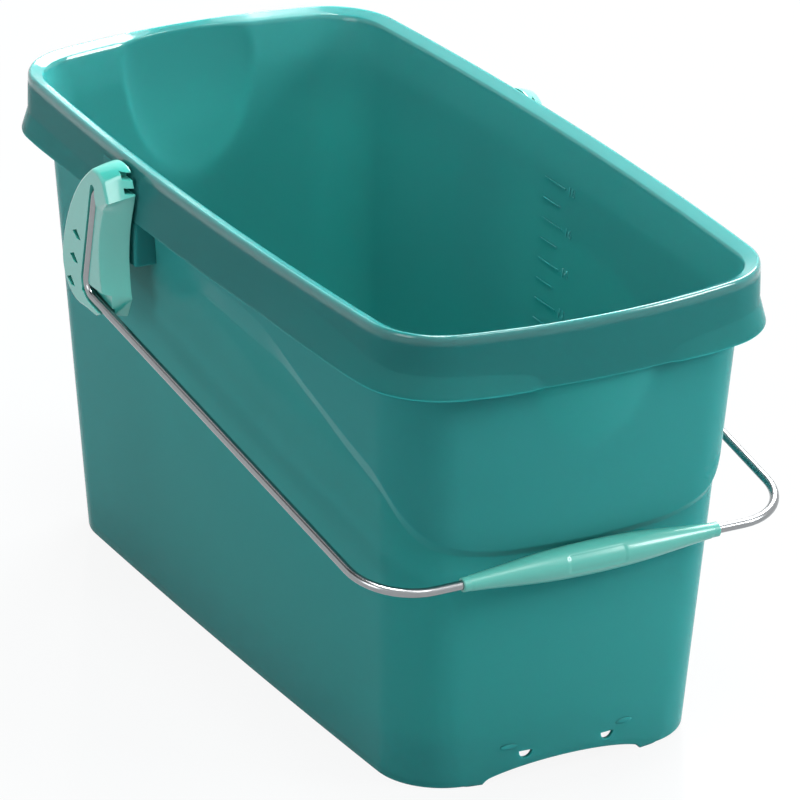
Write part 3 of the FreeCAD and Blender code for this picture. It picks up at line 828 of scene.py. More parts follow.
    def inner_rings(self) -> list[np.ndarray]:
        """Return the rings of the floor and the inner wall, from the middle to the band."""
        floor_top = self.foot_height + self.floor_plate
        edge = self.ring(self.wall_at(floor_top, self.wall + self.floor_round))
        rings = [edge * np.array([share, share, 1.0]) for share in self.floor_shares]
        for angle in np.radians((12, 28, 45, 62, 78)):
            level = floor_top + self.floor_round * (1 - math.cos(angle))
            inset = self.wall + self.floor_round * (1 - math.sin(angle))
            rings.append(self.ring(self.wall_at(level, inset)))
        start = floor_top + self.floor_round
        spout_foot = self.height - self.rim_drop - self.spout_depth - self.spout_margin
        for level in (*np.linspace(start, spout_foot, self.wall_rows),
                      *np.linspace(spout_foot, self.flare_start, self.spout_rows)[1:]):
            rings.append(self.spouted(self.ring(self.wall_at(level, self.wall)), self.wall))
        low = self.ring(self.wall_at(self.flare_start, self.wall))
        high = self.ring(self.mouth(self.height - self.rim_drop, self.band_width))
        for share in np.linspace(0.0, 1.0, 11)[1:]:
            blended = low + (high - low) * share ** self.flare_power
            blended[:, 2] = low[:, 2] + (high[:, 2] - low[:, 2]) * share
            rings.append(self.spouted(blended, self.wall))
        return rings

    def rim_rings(self, inner_edge: np.ndarray) -> list[np.ndarray]:
        """Return the rings of the band, the shoulder and the skirt down to its lower edge.

        Args:
            inner_edge: the ring where the inner wall meets the band.

        Returns:
            The rings, outwards and then down.
        """
        lip = self.ring(self.rim(self.height, self.shoulder_reach))
        span = np.linalg.norm(lip - inner_edge, axis=1, keepdims=True)
        rings = [inner_edge + (lip - inner_edge) * self.edge_round / span]
        rings += [inner_edge + (lip - inner_edge) * share for share in (0.35, 0.7, 0.92)]
        for angle in np.radians((0, 14, 28, 42, 56, 72, 90)):
            inset = self.shoulder_reach * (1 - math.sin(angle))
            level = self.height - self.shoulder_fall * (1 - math.cos(angle))
            rings.append(self.ring(self.rim(level, inset)))
        top = self.height - self.shoulder_fall
        crease = self.skirt_edge + self.kick_rise
        softness = self.kick_crease
        for share in np.linspace(0.0, 1.0, 9)[1:-1]:
            rings.append(self.skirt_ring(top + (crease + softness - top) * share, 0.0))
        rings.append(self.skirt_ring(crease + softness, 0.0))
        rings.append(self.skirt_ring(crease - softness, 0.0))
        round_top = self.skirt_edge + self.edge_round
        for share in np.linspace(0.0, 1.0, 7)[1:]:
            low = crease - softness
            rings.append(self.skirt_ring(low + (round_top - low) * share, 0.0))
        for angle in np.radians((30, 60, 90)):
            level = np.full(len(crease), round_top - self.edge_round * math.sin(angle))
            rings.append(self.skirt_ring(level, self.edge_round * (1 - math.cos(angle))))
        rings.append(self.skirt_ring(np.full(len(crease), self.skirt_edge),
                                     self.skirt_wall - self.lip_sink))
        return rings

    def skirt_ring(self, levels: np.ndarray, inset: float) -> np.ndarray:
        """Return a ring on the skirt whose height changes from station to station.

        Args:
            levels: the height at each station.
            inset: how far inside the skirt's outer face.

        Returns:
            The ring, kicked outwards below the kick line.
        """
        top = self.ring(self.rim(self.height, inset))
        way = self.rim(self.height, inset).directions(self.stations)
        ramp = np.clip((self.skirt_edge + self.kick_rise - levels) / self.kick_rise, 0.0, 1.0)
        flared = self.skirt_flare * (self.height - levels) / self.skirt_depth
        places = top + way * (self.kick_amount * ramp + flared)[:, None]
        places[:, 2] = levels
        return places

    def under_rim_rings(self) -> list[np.ndarray]:
        """Return the rings up inside the skirt, over its roof and down the outer shoulder."""
        roof = self.height - self.rim_drop - self.rim_plate
        count = len(self.kick_rise)
        rings = [self.skirt_ring(np.full(count, roof - drop), self.skirt_wall)
                 for drop in self.skirt_drops]
        skirt = np.abs(rings[-1][:, 1]) - self.spout_skirt_gap
        low = self.ring(self.wall_at(self.flare_start, 0.0))
        high = self.ring(self.mouth(self.height - self.rim_drop, self.band_width - self.wall))
        for level in (roof, roof - self.skirt_drops[-1], *self.roof_levels, self.flare_start):
            share = (level - self.flare_start) / (self.flare_depth - self.rim_drop)
            ring = self.spouted(low + (high - low) * share, 0.0)
            held = np.minimum(np.abs(ring[:, 1]), skirt)
            ring[:, 1] = np.where(self.ends, np.sign(ring[:, 1]) * held, ring[:, 1])
            rings.append(ring)
        return rings

    def foot_height_at(self) -> np.ndarray:
        """Return the height of the tub's lower edge at each station: arches and pads."""
        across = np.abs(self.ring(self.wall_at(0.0, 0.0))[:, 0])
        span = np.clip(1.0 - (across / self.arch_half_width) ** 2, 0.0, None)
        arch = self.arch_height * span ** self.arch_power
        inner, outer = self.pad_slopes
        on_pad = ease(across, self.pad_inner - inner, self.pad_inner + inner)
        past_pad = ease(across, self.pad_outer, self.pad_outer + outer)
        edge = arch * (1 - on_pad) + self.pad_lift * past_pad
        return np.where(self.ends, edge, self.pad_lift)

    def wall_ring(self, levels: np.ndarray, inset: float) -> np.ndarray:
        """Return a ring on the outer wall whose height changes from station to station.

        Args:
            levels: the height at each station.
            inset: how far inside the wall's outer face.

        Returns:
            The ring, with the ledge and the spouts.
        """
        low, high = self.wall_at(0.0, inset), self.wall_at(self.height, inset)
        share = (levels / self.height)[:, None]
        places = self.ring(low) * (1 - share) + self.ring(high) * share
        way = low.directions(self.stations)
        rise = (levels - self.ledge_lower) / (self.ledge_upper - self.ledge_lower)
        strength = ease(self.wall_way, *self.ledge_fade)
        step = self.ledge_step * np.clip(rise, 0.0, 1.0) * strength
        places += way * step[:, None]
        return self.spouted(places, inset)

    def outer_rings(self) -> list[np.ndarray]:
        """Return the rings of the outer wall, from under the skirt down to the foot."""
        top = np.full(len(self.ledge_upper), self.flare_start - self.flare_gap)
        upper, lower = self.ledge_upper, self.ledge_lower
        foot = self.foot_height_at() + self.base_round
        rings = [self.wall_ring(top + (upper + 2 * self.ledge_crease - top) * share, 0.0)
                 for share in np.linspace(0.0, 1.0, 13)]
        for line in (upper, lower):
            for shift in (self.ledge_crease, -self.ledge_crease):
                rings.append(self.wall_ring(line + shift, 0.0))
            if line is upper:
                rings += [self.wall_ring(upper + (lower - upper) * share, 0.0)
                          for share in (0.33, 0.67)]
        start = lower - 2 * self.ledge_crease
        rings += [self.wall_ring(start + (foot - start) * share, 0.0)
                  for share in np.linspace(0.0, 1.0, self.outer_rows)]
        return rings

    def foot_rings(self) -> list[np.ndarray]:
        """Return the rings under the lower edge and inside the hollow foot."""
        foot = self.foot_height_at()
        rings = []
        for angle in np.radians((30, 60, 90)):
            level = foot + self.base_round * (1 - math.sin(angle))
            rings.append(self.wall_ring(level, self.base_round * (1 - math.cos(angle))))
        rings.append(self.wall_ring(foot, self.wall - self.foot_crease[0]))
        roof = self.foot_height
        for share in (0.0, 0.4, 0.8, 1.0):
            level = foot + self.foot_crease[1] + (roof - self.foot_fillet - foot) * share
            rings.append(self.wall_ring(level, self.wall))
        flat = np.full(len(foot), roof)
        rings.append(self.wall_ring(flat, self.wall + self.foot_fillet))
        rings += [rings[-1] * np.array([share, share, 1.0]) for share in self.foot_shares]
        return rings

    def shell(self) -> bpy.types.Object:
        """Build the tub's closed shell from its rings."""
        inner = self.inner_rings()
        edge = inner.pop()
        turned = inner[-1] + (edge - inner[-1]) * self.lip_turn_share
        lip = self.ring(self.rim(self.height, self.shoulder_reach))
        rounded = edge + (lip - edge) * self.lip_share + np.array([0.0, 0.0, -self.lip_sink])
        rings = [*inner, turned, rounded, *self.rim_rings(edge), *self.under_rim_rings(),
                 *self.outer_rings(), *self.foot_rings()]
        count = len(self.kick_rise)
        first = np.array([[0.0, 0.0, rings[0][0, 2]]])
        last = np.array([[0.0, 0.0, rings[-1][0, 2]]])
        vertices = np.concatenate([first, *rings, last])
        faces: Faces = []
        base = 1 + (len(rings) - 1) * count
        for index in range(count):
            following = (index + 1) % count
            faces.append((0, 1 + index, 1 + following))
            faces.append((base + index, len(vertices) - 1, base + following))
        faces += [(a, d, c, b) for a, b, c, d in bridge(len(rings), count, start=1)]
        return mesh_object("tub_shell", vertices, faces)

    def drain_cutters(self) -> list[bpy.types.Object]:
        """Return the half-moon cutters of the drain holes in both end walls."""
        half = self.drain_width / 2
        cutters = []
        for end in End:
            for side in Side:
                middle = side.value * self.drain_reach
                outline = [(middle + half * math.cos(angle),
                            self.drain_top + self.drain_depth * min(math.sin(angle), 0.0))
                           for angle in np.linspace(math.pi, 2 * math.pi, 15)]
                reach = sorted(end.value * place for place in self.drain_cut)
                cutters.append(prism(f"drain_{end.name}_{side.name}", outline, *reach,
                                     lengthwise(Side.RIGHT)))
        return cutters

    def build(self) -> bpy.types.Object:
        """Build the finished shell.

        Returns:
            The tub's shell with its drain holes.
        """
        shell = carve(self.shell(), self.drain_cutters())
        smooth_faces(shell, crease=38.0)
        return shell


@dataclass
class Boss:
    """The block between wall and skirt that holds one end of the bail."""

    tub: Tub
    side: Side
    middle: float = 75.0 * MM
    width: float = 39.0 * MM
    depth: float = 61.0 * MM
    top_gap: float = 8.0 * MM
    outer_inset: float = 0.9 * MM
    overlap: float = 0.4 * MM
    edge: float = 1.6 * MM

    def wall_reach(self, level: float) -> float:
        """Return how far out the wall stands at the boss's far edge, at a level."""
        flare_start = self.tub.flare_start
        low = self.tub.wall_at(min(level, flare_start), 0.0).arcs()[0]
        y = self.middle + self.width / 2
        reach = low[0] + math.sqrt(low[2] ** 2 - y ** 2)
        if level > flare_start:
            span = self.tub.flare_depth - self.tub.rim_drop
            high = self.tub.mouth(level, self.tub.band_width - self.tub.wall).arcs()[0]
            top = high[0] + math.sqrt(high[2] ** 2 - y ** 2)
            reach += (top - reach) * (level - flare_start) / span
        return reach - self.overlap

    def build(self) -> bpy.types.Object:
        """Build the block, with its inner side following the leaning wall."""
        tub = self.tub
        outer = tub.rim_width / 2 + tub.side_bow - self.outer_inset
        foot = tub.height - self.depth
        top = tub.height - self.top_gap
        outline = [(self.wall_reach(foot), foot), (outer, foot), (outer, top),
                   (self.wall_reach(top), top), (self.wall_reach(tub.flare_start), tub.flare_start)]
        low, high = self.middle - self.width / 2, self.middle + self.width / 2
        block = prism(f"tub_boss_{self.side.name.lower()}", outline, low, high,
                      lengthwise(self.side))
        round_edges(block, self.edge)
        settle(block)
        smooth_faces(block, crease=40.0)
        return block


@dataclass
class Graduations:
    """Raised litre marks and numbers on the inside of the right wall."""

    tub: Tub
    count: int = 17
    top_litres: int = 18
    top: float = 239.1 * MM
    pitch: float = 11.7 * MM
    start: float = 8.0 * MM
    long_mark: float = 22.0 * MM
    short_mark: float = 18.0 * MM
    mark_width: float = 0.9 * MM
    relief: float = 0.45 * MM
    sunk: float = 0.3 * MM
    digit_height: float = 5.4 * MM
    digit_gap: float = 3.0 * MM
    type_scale: float = 1.4

    def wall_frame(self) -> Matrix:
        """Return the frame of the marks: X along them, Y up the wall, Z off the wall."""
        def face(level: float) -> Vector:
            """Return the inner wall's middle point at a level."""
            arc = self.tub.wall_at(level, self.tub.wall).arcs()[0]
            return Vector((arc[0] + arc[2], 0.0, level))

        foot, top = face(self.top - self.pitch), face(self.top)
        along = Vector((0.0, -1.0, 0.0))
        rise = (top - foot).normalized()
        off = along.cross(rise)
        origin = top + Vector((0.0, self.start, 0.0))
        return Matrix.Translation(origin) @ Matrix((along, rise, off)).transposed().to_4x4()

    def tree(self, material: bpy.types.Material) -> bpy.types.NodeTree:
        """Build the geometry tree that repeats the marks down the wall.

        Args:
            material: the finish of the marks.

        Returns:
            The tree, with its sizes as named inputs.
        """
        sizes = {"Pitch": self.pitch, "Long": self.long_mark, "Short": self.short_mark,
                 "Width": self.mark_width, "Relief": self.relief, "Sunk": self.sunk}
        tree = NodeTree.group(
            "litre_marks", "Geometry",
            {"Count": ("Int", self.count),
             **{name: ("Float", size) for name, size in sizes.items()}},
            {"Geometry": "Geometry"})
        given = tree.add("NodeGroupInput").outputs
        back = tree.calculate("MULTIPLY", given["Sunk"], -1.0)
        down = tree.calculate("MULTIPLY", given["Pitch"], -1.0)
        row = tree.add("GeometryNodeMeshLine", {
            "Count": given["Count"],
            "Start Location": tree.add("ShaderNodeCombineXYZ", {"Z": back}).outputs[0],
            "Offset": tree.add("ShaderNodeCombineXYZ", {"Y": down}).outputs[0]}, mode="OFFSET")
        odd = tree.calculate("MODULO", tree.add("GeometryNodeInputIndex").outputs[0], 2.0)
        length = tree.add("ShaderNodeMix", {0: odd, 2: given["Long"], 3: given["Short"]},
                          data_type="FLOAT")
        size = tree.add("ShaderNodeCombineXYZ", {
            "X": length.outputs[0], "Y": given["Width"],
            "Z": tree.calculate("ADD", given["Relief"], given["Sunk"])})
        bar = tree.add("GeometryNodeTransform", {
            "Geometry": tree.add("GeometryNodeMeshCube").outputs["Mesh"],
            "Translation": (0.5, 0.0, 0.5)})
        copies = tree.add("GeometryNodeInstanceOnPoints", {
            "Points": row.outputs["Mesh"], "Instance": bar.outputs["Geometry"],
            "Scale": size.outputs["Vector"]})
        return tree.close(copies.outputs["Instances"], material)

    def marks(self, material: bpy.types.Material) -> bpy.types.Object:
        """Build all marks as one mesh on the wall."""
        marks = grow(mesh_object("litre_marks", np.zeros((1, 3)), []), self.tree(material))
        marks.data.transform(self.wall_frame())
        return marks

    def numbers(self) -> bpy.types.Object:
        """Build the plain numbers beside every second mark as one mesh."""
        place = self.wall_frame()
        work = bmesh.new()
        for index in range(0, self.count, 2):
            text = bpy.data.curves.new("litres", "FONT")
            text.body = str(self.top_litres - index)
            text.size = self.digit_height * self.type_scale
            text.extrude = (self.relief + self.sunk) / 2
            text.resolution_u = 3
            text.align_y = "CENTER"
            shape = place_object("litres", text)
            graph = bpy.context.evaluated_depsgraph_get()
            mesh = bpy.data.meshes.new_from_object(shape.evaluated_get(graph))
            off = (self.relief - self.sunk) / 2
            shift = Vector((self.long_mark + self.digit_gap, -index * self.pitch, off))
            mesh.transform(place @ Matrix.Translation(shift))
            work.from_mesh(mesh)
            bpy.data.meshes.remove(mesh)
            bpy.data.objects.remove(shape)
        bmesh.ops.remove_doubles(work, verts=work.verts, dist=0.01 * MM)
        bmesh.ops.recalc_face_normals(work, faces=work.faces)
        mesh = bpy.data.meshes.new("litre_numbers")
        work.to_mesh(mesh)
        work.free()
        return place_object("litre_numbers", mesh)


@dataclass
class FootNubs:
    """Small raised lenses above the drain holes in both end walls."""

    tub: Tub
    reach: float = 34.0 * MM
    height: float = 21.0 * MM
    size: tuple[float, float, float] = (5.5 * MM, 0.8 * MM, 1.6 * MM)

    def tree(self, material: bpy.types.Material) -> bpy.types.NodeTree:
        """Build the geometry tree that sets a flattened ball on every point."""
        tree = NodeTree.group("foot_nubs", "Geometry",
                              {"Geometry": ("Geometry", None), "Size": ("Vector", self.size)},
                              {"Geometry": "Geometry"})
        given = tree.add("NodeGroupInput").outputs
        ball = tree.add("GeometryNodeMeshUVSphere", {"Segments": 24, "Rings": 12, "Radius": 1.0})
        copies = tree.add("GeometryNodeInstanceOnPoints", {
            "Points": given["Geometry"], "Instance": ball.outputs["Mesh"],
            "Scale": given["Size"]})
        return tree.close(copies.outputs["Instances"], material)

    def build(self, material: bpy.types.Material) -> bpy.types.Object:
        """Build the four nubs as one mesh."""
        arc = self.tub.wall_at(self.height, 0.0).arcs()[2]
        y = arc[1] + math.sqrt(arc[2] ** 2 - self.reach ** 2)
        places = np.array([(side.value * self.reach, end.value * y, self.height)
                           for side in Side for end in End])
        nubs = grow(mesh_object("foot_nubs", places, []), self.tree(material))
        smooth_faces(nubs, crease=60.0)
        return nubs


# Bail


@dataclass
class BailWire:
    """The bent wire: a pin in each boss, a run down each clip, two arms and the grip's bar."""

    pivot: Pair = (75.0 * MM, 250.5 * MM)
    pin_end: float = 111.0 * MM
    spread: float = 132.5 * MM
    clip_run: Pair = (13.5 * MM, -63.0 * MM)
    corner_spread: float = 124.0 * MM
    grip_bar: Pair = (-230.3 * MM, 131.0 * MM)
    radius: float = 2.5 * MM
    bends: tuple[float, float, float] = (5.0 * MM, 9.0 * MM, 33.0 * MM)
    around: int = 24
    arc_points: int = 12

    def route(self) -> list[Vector]:
        """Return the corners of the left half, from the pin's end to the grip's bar."""
        y, z = self.pivot
        return [Vector((-self.pin_end, y, z)), Vector((-self.spread, y, z)),
                Vector((-self.spread, y + self.clip_run[0], z + self.clip_run[1])),
                Vector((-self.corner_spread, *self.grip_bar))]

    def tree(self, material: bpy.types.Material) -> bpy.types.NodeTree:
        """Build the geometry tree that rounds a path's corners and gives it a round section.

        Args:
            material: the finish of the wire.

        Returns:
            The tree, with the wire's radius and the arcs' fineness as named inputs.
        """
        tree = NodeTree.group(
            "bent_wire", "Geometry",
            {"Geometry": ("Geometry", None), "Wire Radius": ("Float", self.radius),
             "Around": ("Int", self.around), "Arc Points": ("Int", self.arc_points)},
            {"Geometry": "Geometry"})
        given = tree.add("NodeGroupInput").outputs
        path = tree.add("GeometryNodeMeshToCurve", {"Mesh": given["Geometry"]})
        bend = tree.add("GeometryNodeInputNamedAttribute", {"Name": "bend"}, data_type="FLOAT")
        rounded = tree.add("GeometryNodeFilletCurve", {
            "Curve": path.outputs["Curve"], "Count": given["Arc Points"],
            "Radius": bend.outputs["Attribute"]}, mode="POLY")
        ring = tree.add("GeometryNodeCurvePrimitiveCircle", {
            "Resolution": given["Around"], "Radius": given["Wire Radius"]})
        tube = tree.add("GeometryNodeCurveToMesh", {
            "Curve": rounded.outputs["Curve"], "Profile Curve": ring.outputs["Curve"],
            "Fill Caps": True})
        return tree.close(tube.outputs["Mesh"], material)

    def build(self, material: bpy.types.Material) -> bpy.types.Object:
        """Build the wire from its route."""
        left = self.route()
        right = [Vector((-place.x, place.y, place.z)) for place in reversed(left)]
        places = left + right
        mesh = bpy.data.meshes.new("bail_wire_steel")
        mesh.from_pydata(places, [(index, index + 1) for index in range(len(places) - 1)], [])
        bend = mesh.attributes.new("bend", "FLOAT", "POINT")
        bend.data.foreach_set("value", [0.0, *self.bends, *reversed(self.bends), 0.0])
        wire = grow(place_object("bail_wire_steel", mesh), self.tree(material))
        face_outwards(wire)
        smooth_faces(wire, crease=50.0)
        return wire


@dataclass(frozen=True)
class ClipOutline:
    """One outline of a clip, in millimetres from the pivot along Y and Z."""

    head: Pair
    brow: Pair
    tip: Pair
    neck: Pair
    heel: Pair
    toe: Pair
    head_round: float
    front_round: float
    ball: Pair = (-3.0, -72.0)
    sole: Pair = (12.0, -71.5)
    back: Pair = (38.0, -50.0)
    sole_round: float = 22.0
    back_round: float = 85.0

    def points(self) -> np.ndarray:
        """Return the outline's points, anticlockwise, one row each."""
        stretches = [
            arc_points(self.head, self.brow, self.head_round, left=True, steps=14),
            straight(self.brow, self.tip, 6), straight(self.tip, self.neck, 6),
            arc_points(self.neck, self.heel, self.front_round, left=False, steps=22),
            straight(self.heel, self.toe, 4), straight(self.toe, self.ball, 3),
            straight(self.ball, self.sole, 4),
            arc_points(self.sole, self.back, self.sole_round, left=True, steps=14),
            arc_points(self.back, self.head, self.back_round, left=True, steps=22)]
        return np.array([point for stretch in stretches for point in stretch]) * MM


INNER_OUTLINE = ClipOutline(head=(-1.3, 15.5), brow=(-20.5, 15.6), tip=(-26.4, 3.2),
                            neck=(-22.6, -9.0), heel=(-22.0, -58.0), toe=(-16.4, -69.7),
                            head_round=23.5, front_round=82.8)
FACE_OUTLINE = ClipOutline(head=(1.2, 11.3), brow=(-13.0, 7.8), tip=(-18.3, -2.4),
                           neck=(-7.2, -9.1), heel=(-4.0, -58.0), toe=(-9.8, -67.5),
                           head_round=15.0, front_round=57.3)


@dataclass
class Clip:
    """The rigid clip on one end of the bail. Its outlines are measured from the pivot."""

    side: Side
    wire: BailWire
    inner: float = 121.95 * MM
    thickness: float = 13.2 * MM
    bulge: float = 1.35
    inner_edge: float = 0.5 * MM
    face_edge: float = 1.3 * MM
    wire_gap: float = 0.12 * MM
    groove_lead: float = 1.2 * MM
    front_step: float = 1.85 * MM
    front_step_drop: Pair = (10.0 * MM, 2.0 * MM)
    heel_step: float = 5.2 * MM
    tooth_heights: Pair = (12.8 * MM, 5.3 * MM)
    tooth_gaps: Pair = (3.9 * MM, 3.2 * MM)
    tooth_cut: float = 5.0 * MM
    tooth_reach: float = -15.0 * MM
    window: Pairs = ((-0.4, -2.3), (5.0, 0.9), (0.2, 3.0), (-4.9, -1.8))
    window_places: Pairs = ((19.5, -32.7), (23.0, -47.4), (26.9, -62.2))
    window_depth: float = 4.0 * MM
    edge: float = 0.45 * MM
    overrun: float = 6.0 * MM
    groove_run: float = 60.0

    @property
    def outer(self) -> float:
        """Return how far out the clip's outer face stands."""
        return self.inner + self.thickness

    def frame(self) -> Matrix:
        """Return the clip's frame: Y and Z of the row from the pivot, then X outwards."""
        y, z = self.wire.pivot
        return Matrix(((0, 0, self.side.value, 0), (1, 0, 0, y), (0, 1, 0, z), (0, 0, 0, 1)))

    def body(self) -> bpy.types.Object:
        """Build the clip's block: it slants back from its inner to its outer outline."""
        low, high = INNER_OUTLINE.points(), FACE_OUTLINE.points()
        count = len(low)

        def inwards(outline: np.ndarray) -> np.ndarray:
            """Return the direction into the outline at each point."""
            along = np.roll(outline, -1, axis=0) - np.roll(outline, 1, axis=0)
            turned = np.stack([-along[:, 1], along[:, 0]], axis=1)
            return turned / np.linalg.norm(turned, axis=1, keepdims=True)

        def level(share: float, inset: float) -> np.ndarray:
            """Return the outline part of the way out, moved in by an inset."""
            outline = low + (high - low) * share ** self.bulge
            outline = outline + inwards(outline) * inset
            height = np.full((count, 1), self.inner + self.thickness * share)
            return np.concatenate([outline, height], axis=1)

        rings = [level(0.0, self.inner_edge), level(0.3 * self.inner_edge / self.thickness,
                                                    0.3 * self.inner_edge)]
        top = 1 - self.face_edge / self.thickness
        rings += [level(share, 0.0) for share in np.linspace(
            self.inner_edge / self.thickness, top, 12)]
        for angle in np.radians((20, 40, 60, 80)):
            rings.append(level(1 - self.face_edge / self.thickness * (1 - math.sin(angle)),
                               self.face_edge * (1 - math.cos(angle))))
        rings.append(level(1.0, self.face_edge))
        place = self.frame()
        vertices = np.array([place @ Vector(point) for ring in rings for point in ring])
        caps = [tuple(reversed(range(count))),
                tuple(range(len(vertices) - count, len(vertices)))]
        block = mesh_object(f"clip_{self.side.name.lower()}_moulding", vertices,
                            caps + bridge(len(rings), count))
        face_outwards(block)
        return block

    def groove_cutter(self) -> bpy.types.Object:
        """Build the channel that the wire lies in, open outwards."""
        fit = self.wire.radius + self.wire_gap
        seat = self.wire.spread - self.groove_lead - fit
        pivot, bend = Vector((0.0, 0.0)), Vector(self.wire.clip_run)
        corner = Vector(self.wire.grip_bar) - Vector(self.wire.pivot)
        ways = [(bend - pivot).normalized(), (corner - bend).normalized()]
        radius = self.wire.bends[1]
        half = (math.pi - ways[0].angle(ways[1])) / 2
        entry = bend - ways[0] * radius / math.tan(half)
        leave = bend + ways[1] * radius / math.tan(half)
        left = ways[0].x * ways[1].y - ways[0].y * ways[1].x > 0
        middle = [Vector(p) for p in arc_points(tuple(entry), tuple(leave), radius, left, 8)]
        middle += [leave, leave + ways[1] * self.groove_run * MM]
        outline_left, outline_right = [], []
        for index, point in enumerate(middle):
            before = middle[max(index - 1, 0)]
            after = middle[min(index + 1, len(middle) - 1)]
            way = (after - before).normalized()
            across = Vector((-way.y, way.x)) * fit
            outline_left.append(point + across)
            outline_right.append(point - across)
        start = math.atan2(-ways[0].x, ways[0].y)
        cap = [pivot + Vector((math.cos(start - angle), math.sin(start - angle))) * fit
               for angle in np.linspace(0.0, math.pi, 13)]
        points = [*reversed(outline_right), *cap, *outline_left]
        return prism("groove", [tuple(point) for point in points], seat,
                     self.outer + self.overrun, self.frame())

    def run_at(self, drop: float) -> float:
        """Return how far behind the pivot the wire's run stands at a drop."""
        return self.wire.clip_run[0] * drop / -self.wire.clip_run[1]

    def step_cutters(self) -> list[bpy.types.Object]:
        """Return the cutters of the lower front face and of the pocket under the front block."""
        away = INNER_OUTLINE.tip[0] * MM - self.overrun
        heel = INNER_OUTLINE.heel[1] * MM
        outlines = []
        for drop in self.front_step_drop:
            outlines.append([(away, heel), (self.run_at(-heel), heel),
                             (self.run_at(drop), -drop), (away, -drop)])
        rise = self.front_step_drop[0] - self.front_step_drop[1]
        top = [(a, b + (rise if b > heel else 0.0)) for a, b in outlines[1]]
        front = prism("front_step", outlines[0], self.outer - self.front_step,
                      self.outer + self.front_step, self.frame(), top)
        bend = Vector(self.wire.clip_run)
        corner = Vector(self.wire.grip_bar) - Vector(self.wire.pivot)
        fall = (bend.y - corner.y) / (bend.x - corner.x)
        under = [tuple(bend), (self.run_at(-heel), heel), (away, heel),
                 (away, bend.y - (bend.x - away) * fall)]
        pocket = prism("heel_step", under, self.outer - self.heel_step,
                       self.outer + self.overrun, self.frame())
        return [front, pocket]

    def cutters(self) -> list[bpy.types.Object]:
        """Return the cutters of the groove, the steps, the locking teeth and the windows."""
        away = INNER_OUTLINE.tip[0] * MM - self.overrun
        cutters = [self.groove_cutter(), *self.step_cutters()]
        for index, (height, gap) in enumerate(zip(self.tooth_heights, self.tooth_gaps)):
            low, high = height - gap / 2, height + gap / 2
            corners = [(away, low), (self.tooth_reach, low), (self.tooth_reach, high), (away, high)]
            cutters.append(prism(f"tooth_{index}", corners, self.inner - self.overrun,
                                 self.inner + self.tooth_cut, self.frame()))
        for index, (reach, drop) in enumerate(self.window_places):
            corners = [((a + reach) * MM, (b + drop) * MM) for a, b in self.window]
            cutters.append(prism(f"window_{index}", corners, self.outer - self.window_depth,
                                 self.outer + self.overrun, self.frame()))
        return cutters

    def build(self) -> bpy.types.Object:
        """Build the clip with its groove, steps, teeth and windows.

        Returns:
            The finished clip.
        """
        clip = carve(self.body(), self.cutters())
        round_edges(clip, self.edge, sharp=38.0)
        even = clip.modifiers.new("shading", "WEIGHTED_NORMAL")
        even.keep_sharp = True
        smooth_faces(clip, crease=45.0)
        return settle(clip)


@dataclass
class Grip:
    """The spindle that turns on the middle of the wire, with a bare recessed field."""

    wire: BailWire
    half_length: float = 76.0 * MM
    collar: float = 5.0 * MM
    bore: float = 2.56 * MM
    end_radius: float = 3.9 * MM
    end_round: float = 0.5 * MM
    profile: Pairs = (
        (0.0, 8.8), (12.0, 8.65), (24.0, 8.25), (36.0, 7.4), (54.0, 5.6), (66.0, 4.5), (71.0, 4.05))
    field_half: Pair = (17.0 * MM, 4.8 * MM)
    field_corner: float = 1.6 * MM
    field_depth: float = 0.45 * MM
    field_rise: float = 14.0
    profile_soft: float = 5.0 * MM
    collar_soft: float = 0.3 * MM
    field_soft: float = 0.35 * MM
    around: int = 96
    along: int = 190

    def radius_at(self, reach: np.ndarray) -> np.ndarray:
        """Return the spindle's radius at distances from its middle."""
        x, r = np.array(self.profile).T * MM
        shifts = np.linspace(-self.profile_soft, self.profile_soft, 9)
        body = np.mean([np.interp(np.abs(reach + shift), x, r) for shift in shifts], axis=0)
        edge = self.half_length - self.collar
        in_collar = ease(np.abs(reach), edge - self.collar_soft, edge + self.collar_soft)
        return body * (1 - in_collar) + self.end_radius * in_collar

    def recess(self, reach: float, around: float) -> float:
        """Return how deep the bare field is at a place on the spindle.

        Args:
            reach: distance along the spindle from its middle.
            around: distance round it from the field's middle line.

        Returns:
            The depth, 0 outside the field.
        """
        edge_x = abs(reach) - self.field_half[0] + self.field_corner
        edge_y = abs(around) - self.field_half[1] + self.field_corner
        outside = math.hypot(max(edge_x, 0.0), max(edge_y, 0.0)) + min(max(edge_x, edge_y), 0.0)
        share = float(ease(np.array(outside - self.field_corner), self.field_soft,
                           -self.field_soft))
        return self.field_depth * share

    def build(self) -> bpy.types.Object:
        """Build the spindle, closed at both ends round the wire."""
        y, z = self.wire.grip_bar
        reaches = np.linspace(-self.half_length + self.end_round, self.half_length - self.end_round,
                              self.along)
        radii = self.radius_at(reaches)
        rim = self.end_radius - self.end_round
        rows = [(-self.half_length, self.bore), (-self.half_length, rim), *zip(reaches, radii),
                (self.half_length, rim), (self.half_length, self.bore)]
        middle = math.radians(180.0 - self.field_rise)
        vertices = []
        for reach, radius in rows:
            for index in range(self.around):
                angle = 2 * math.pi * index / self.around
                away = (angle - middle + math.pi) % (2 * math.pi) - math.pi
                depth = self.recess(reach, away * radius) if radius > self.end_radius else 0.0
                vertices.append((reach, y + (radius - depth) * math.cos(angle),
                                 z + (radius - depth) * math.sin(angle)))
        grip = mesh_object("grip_moulding", np.array(vertices),
                           bridge(len(rows), self.around, closed=True))
        face_outwards(grip)
        smooth_faces(grip, crease=40.0)
        return grip


# Studio


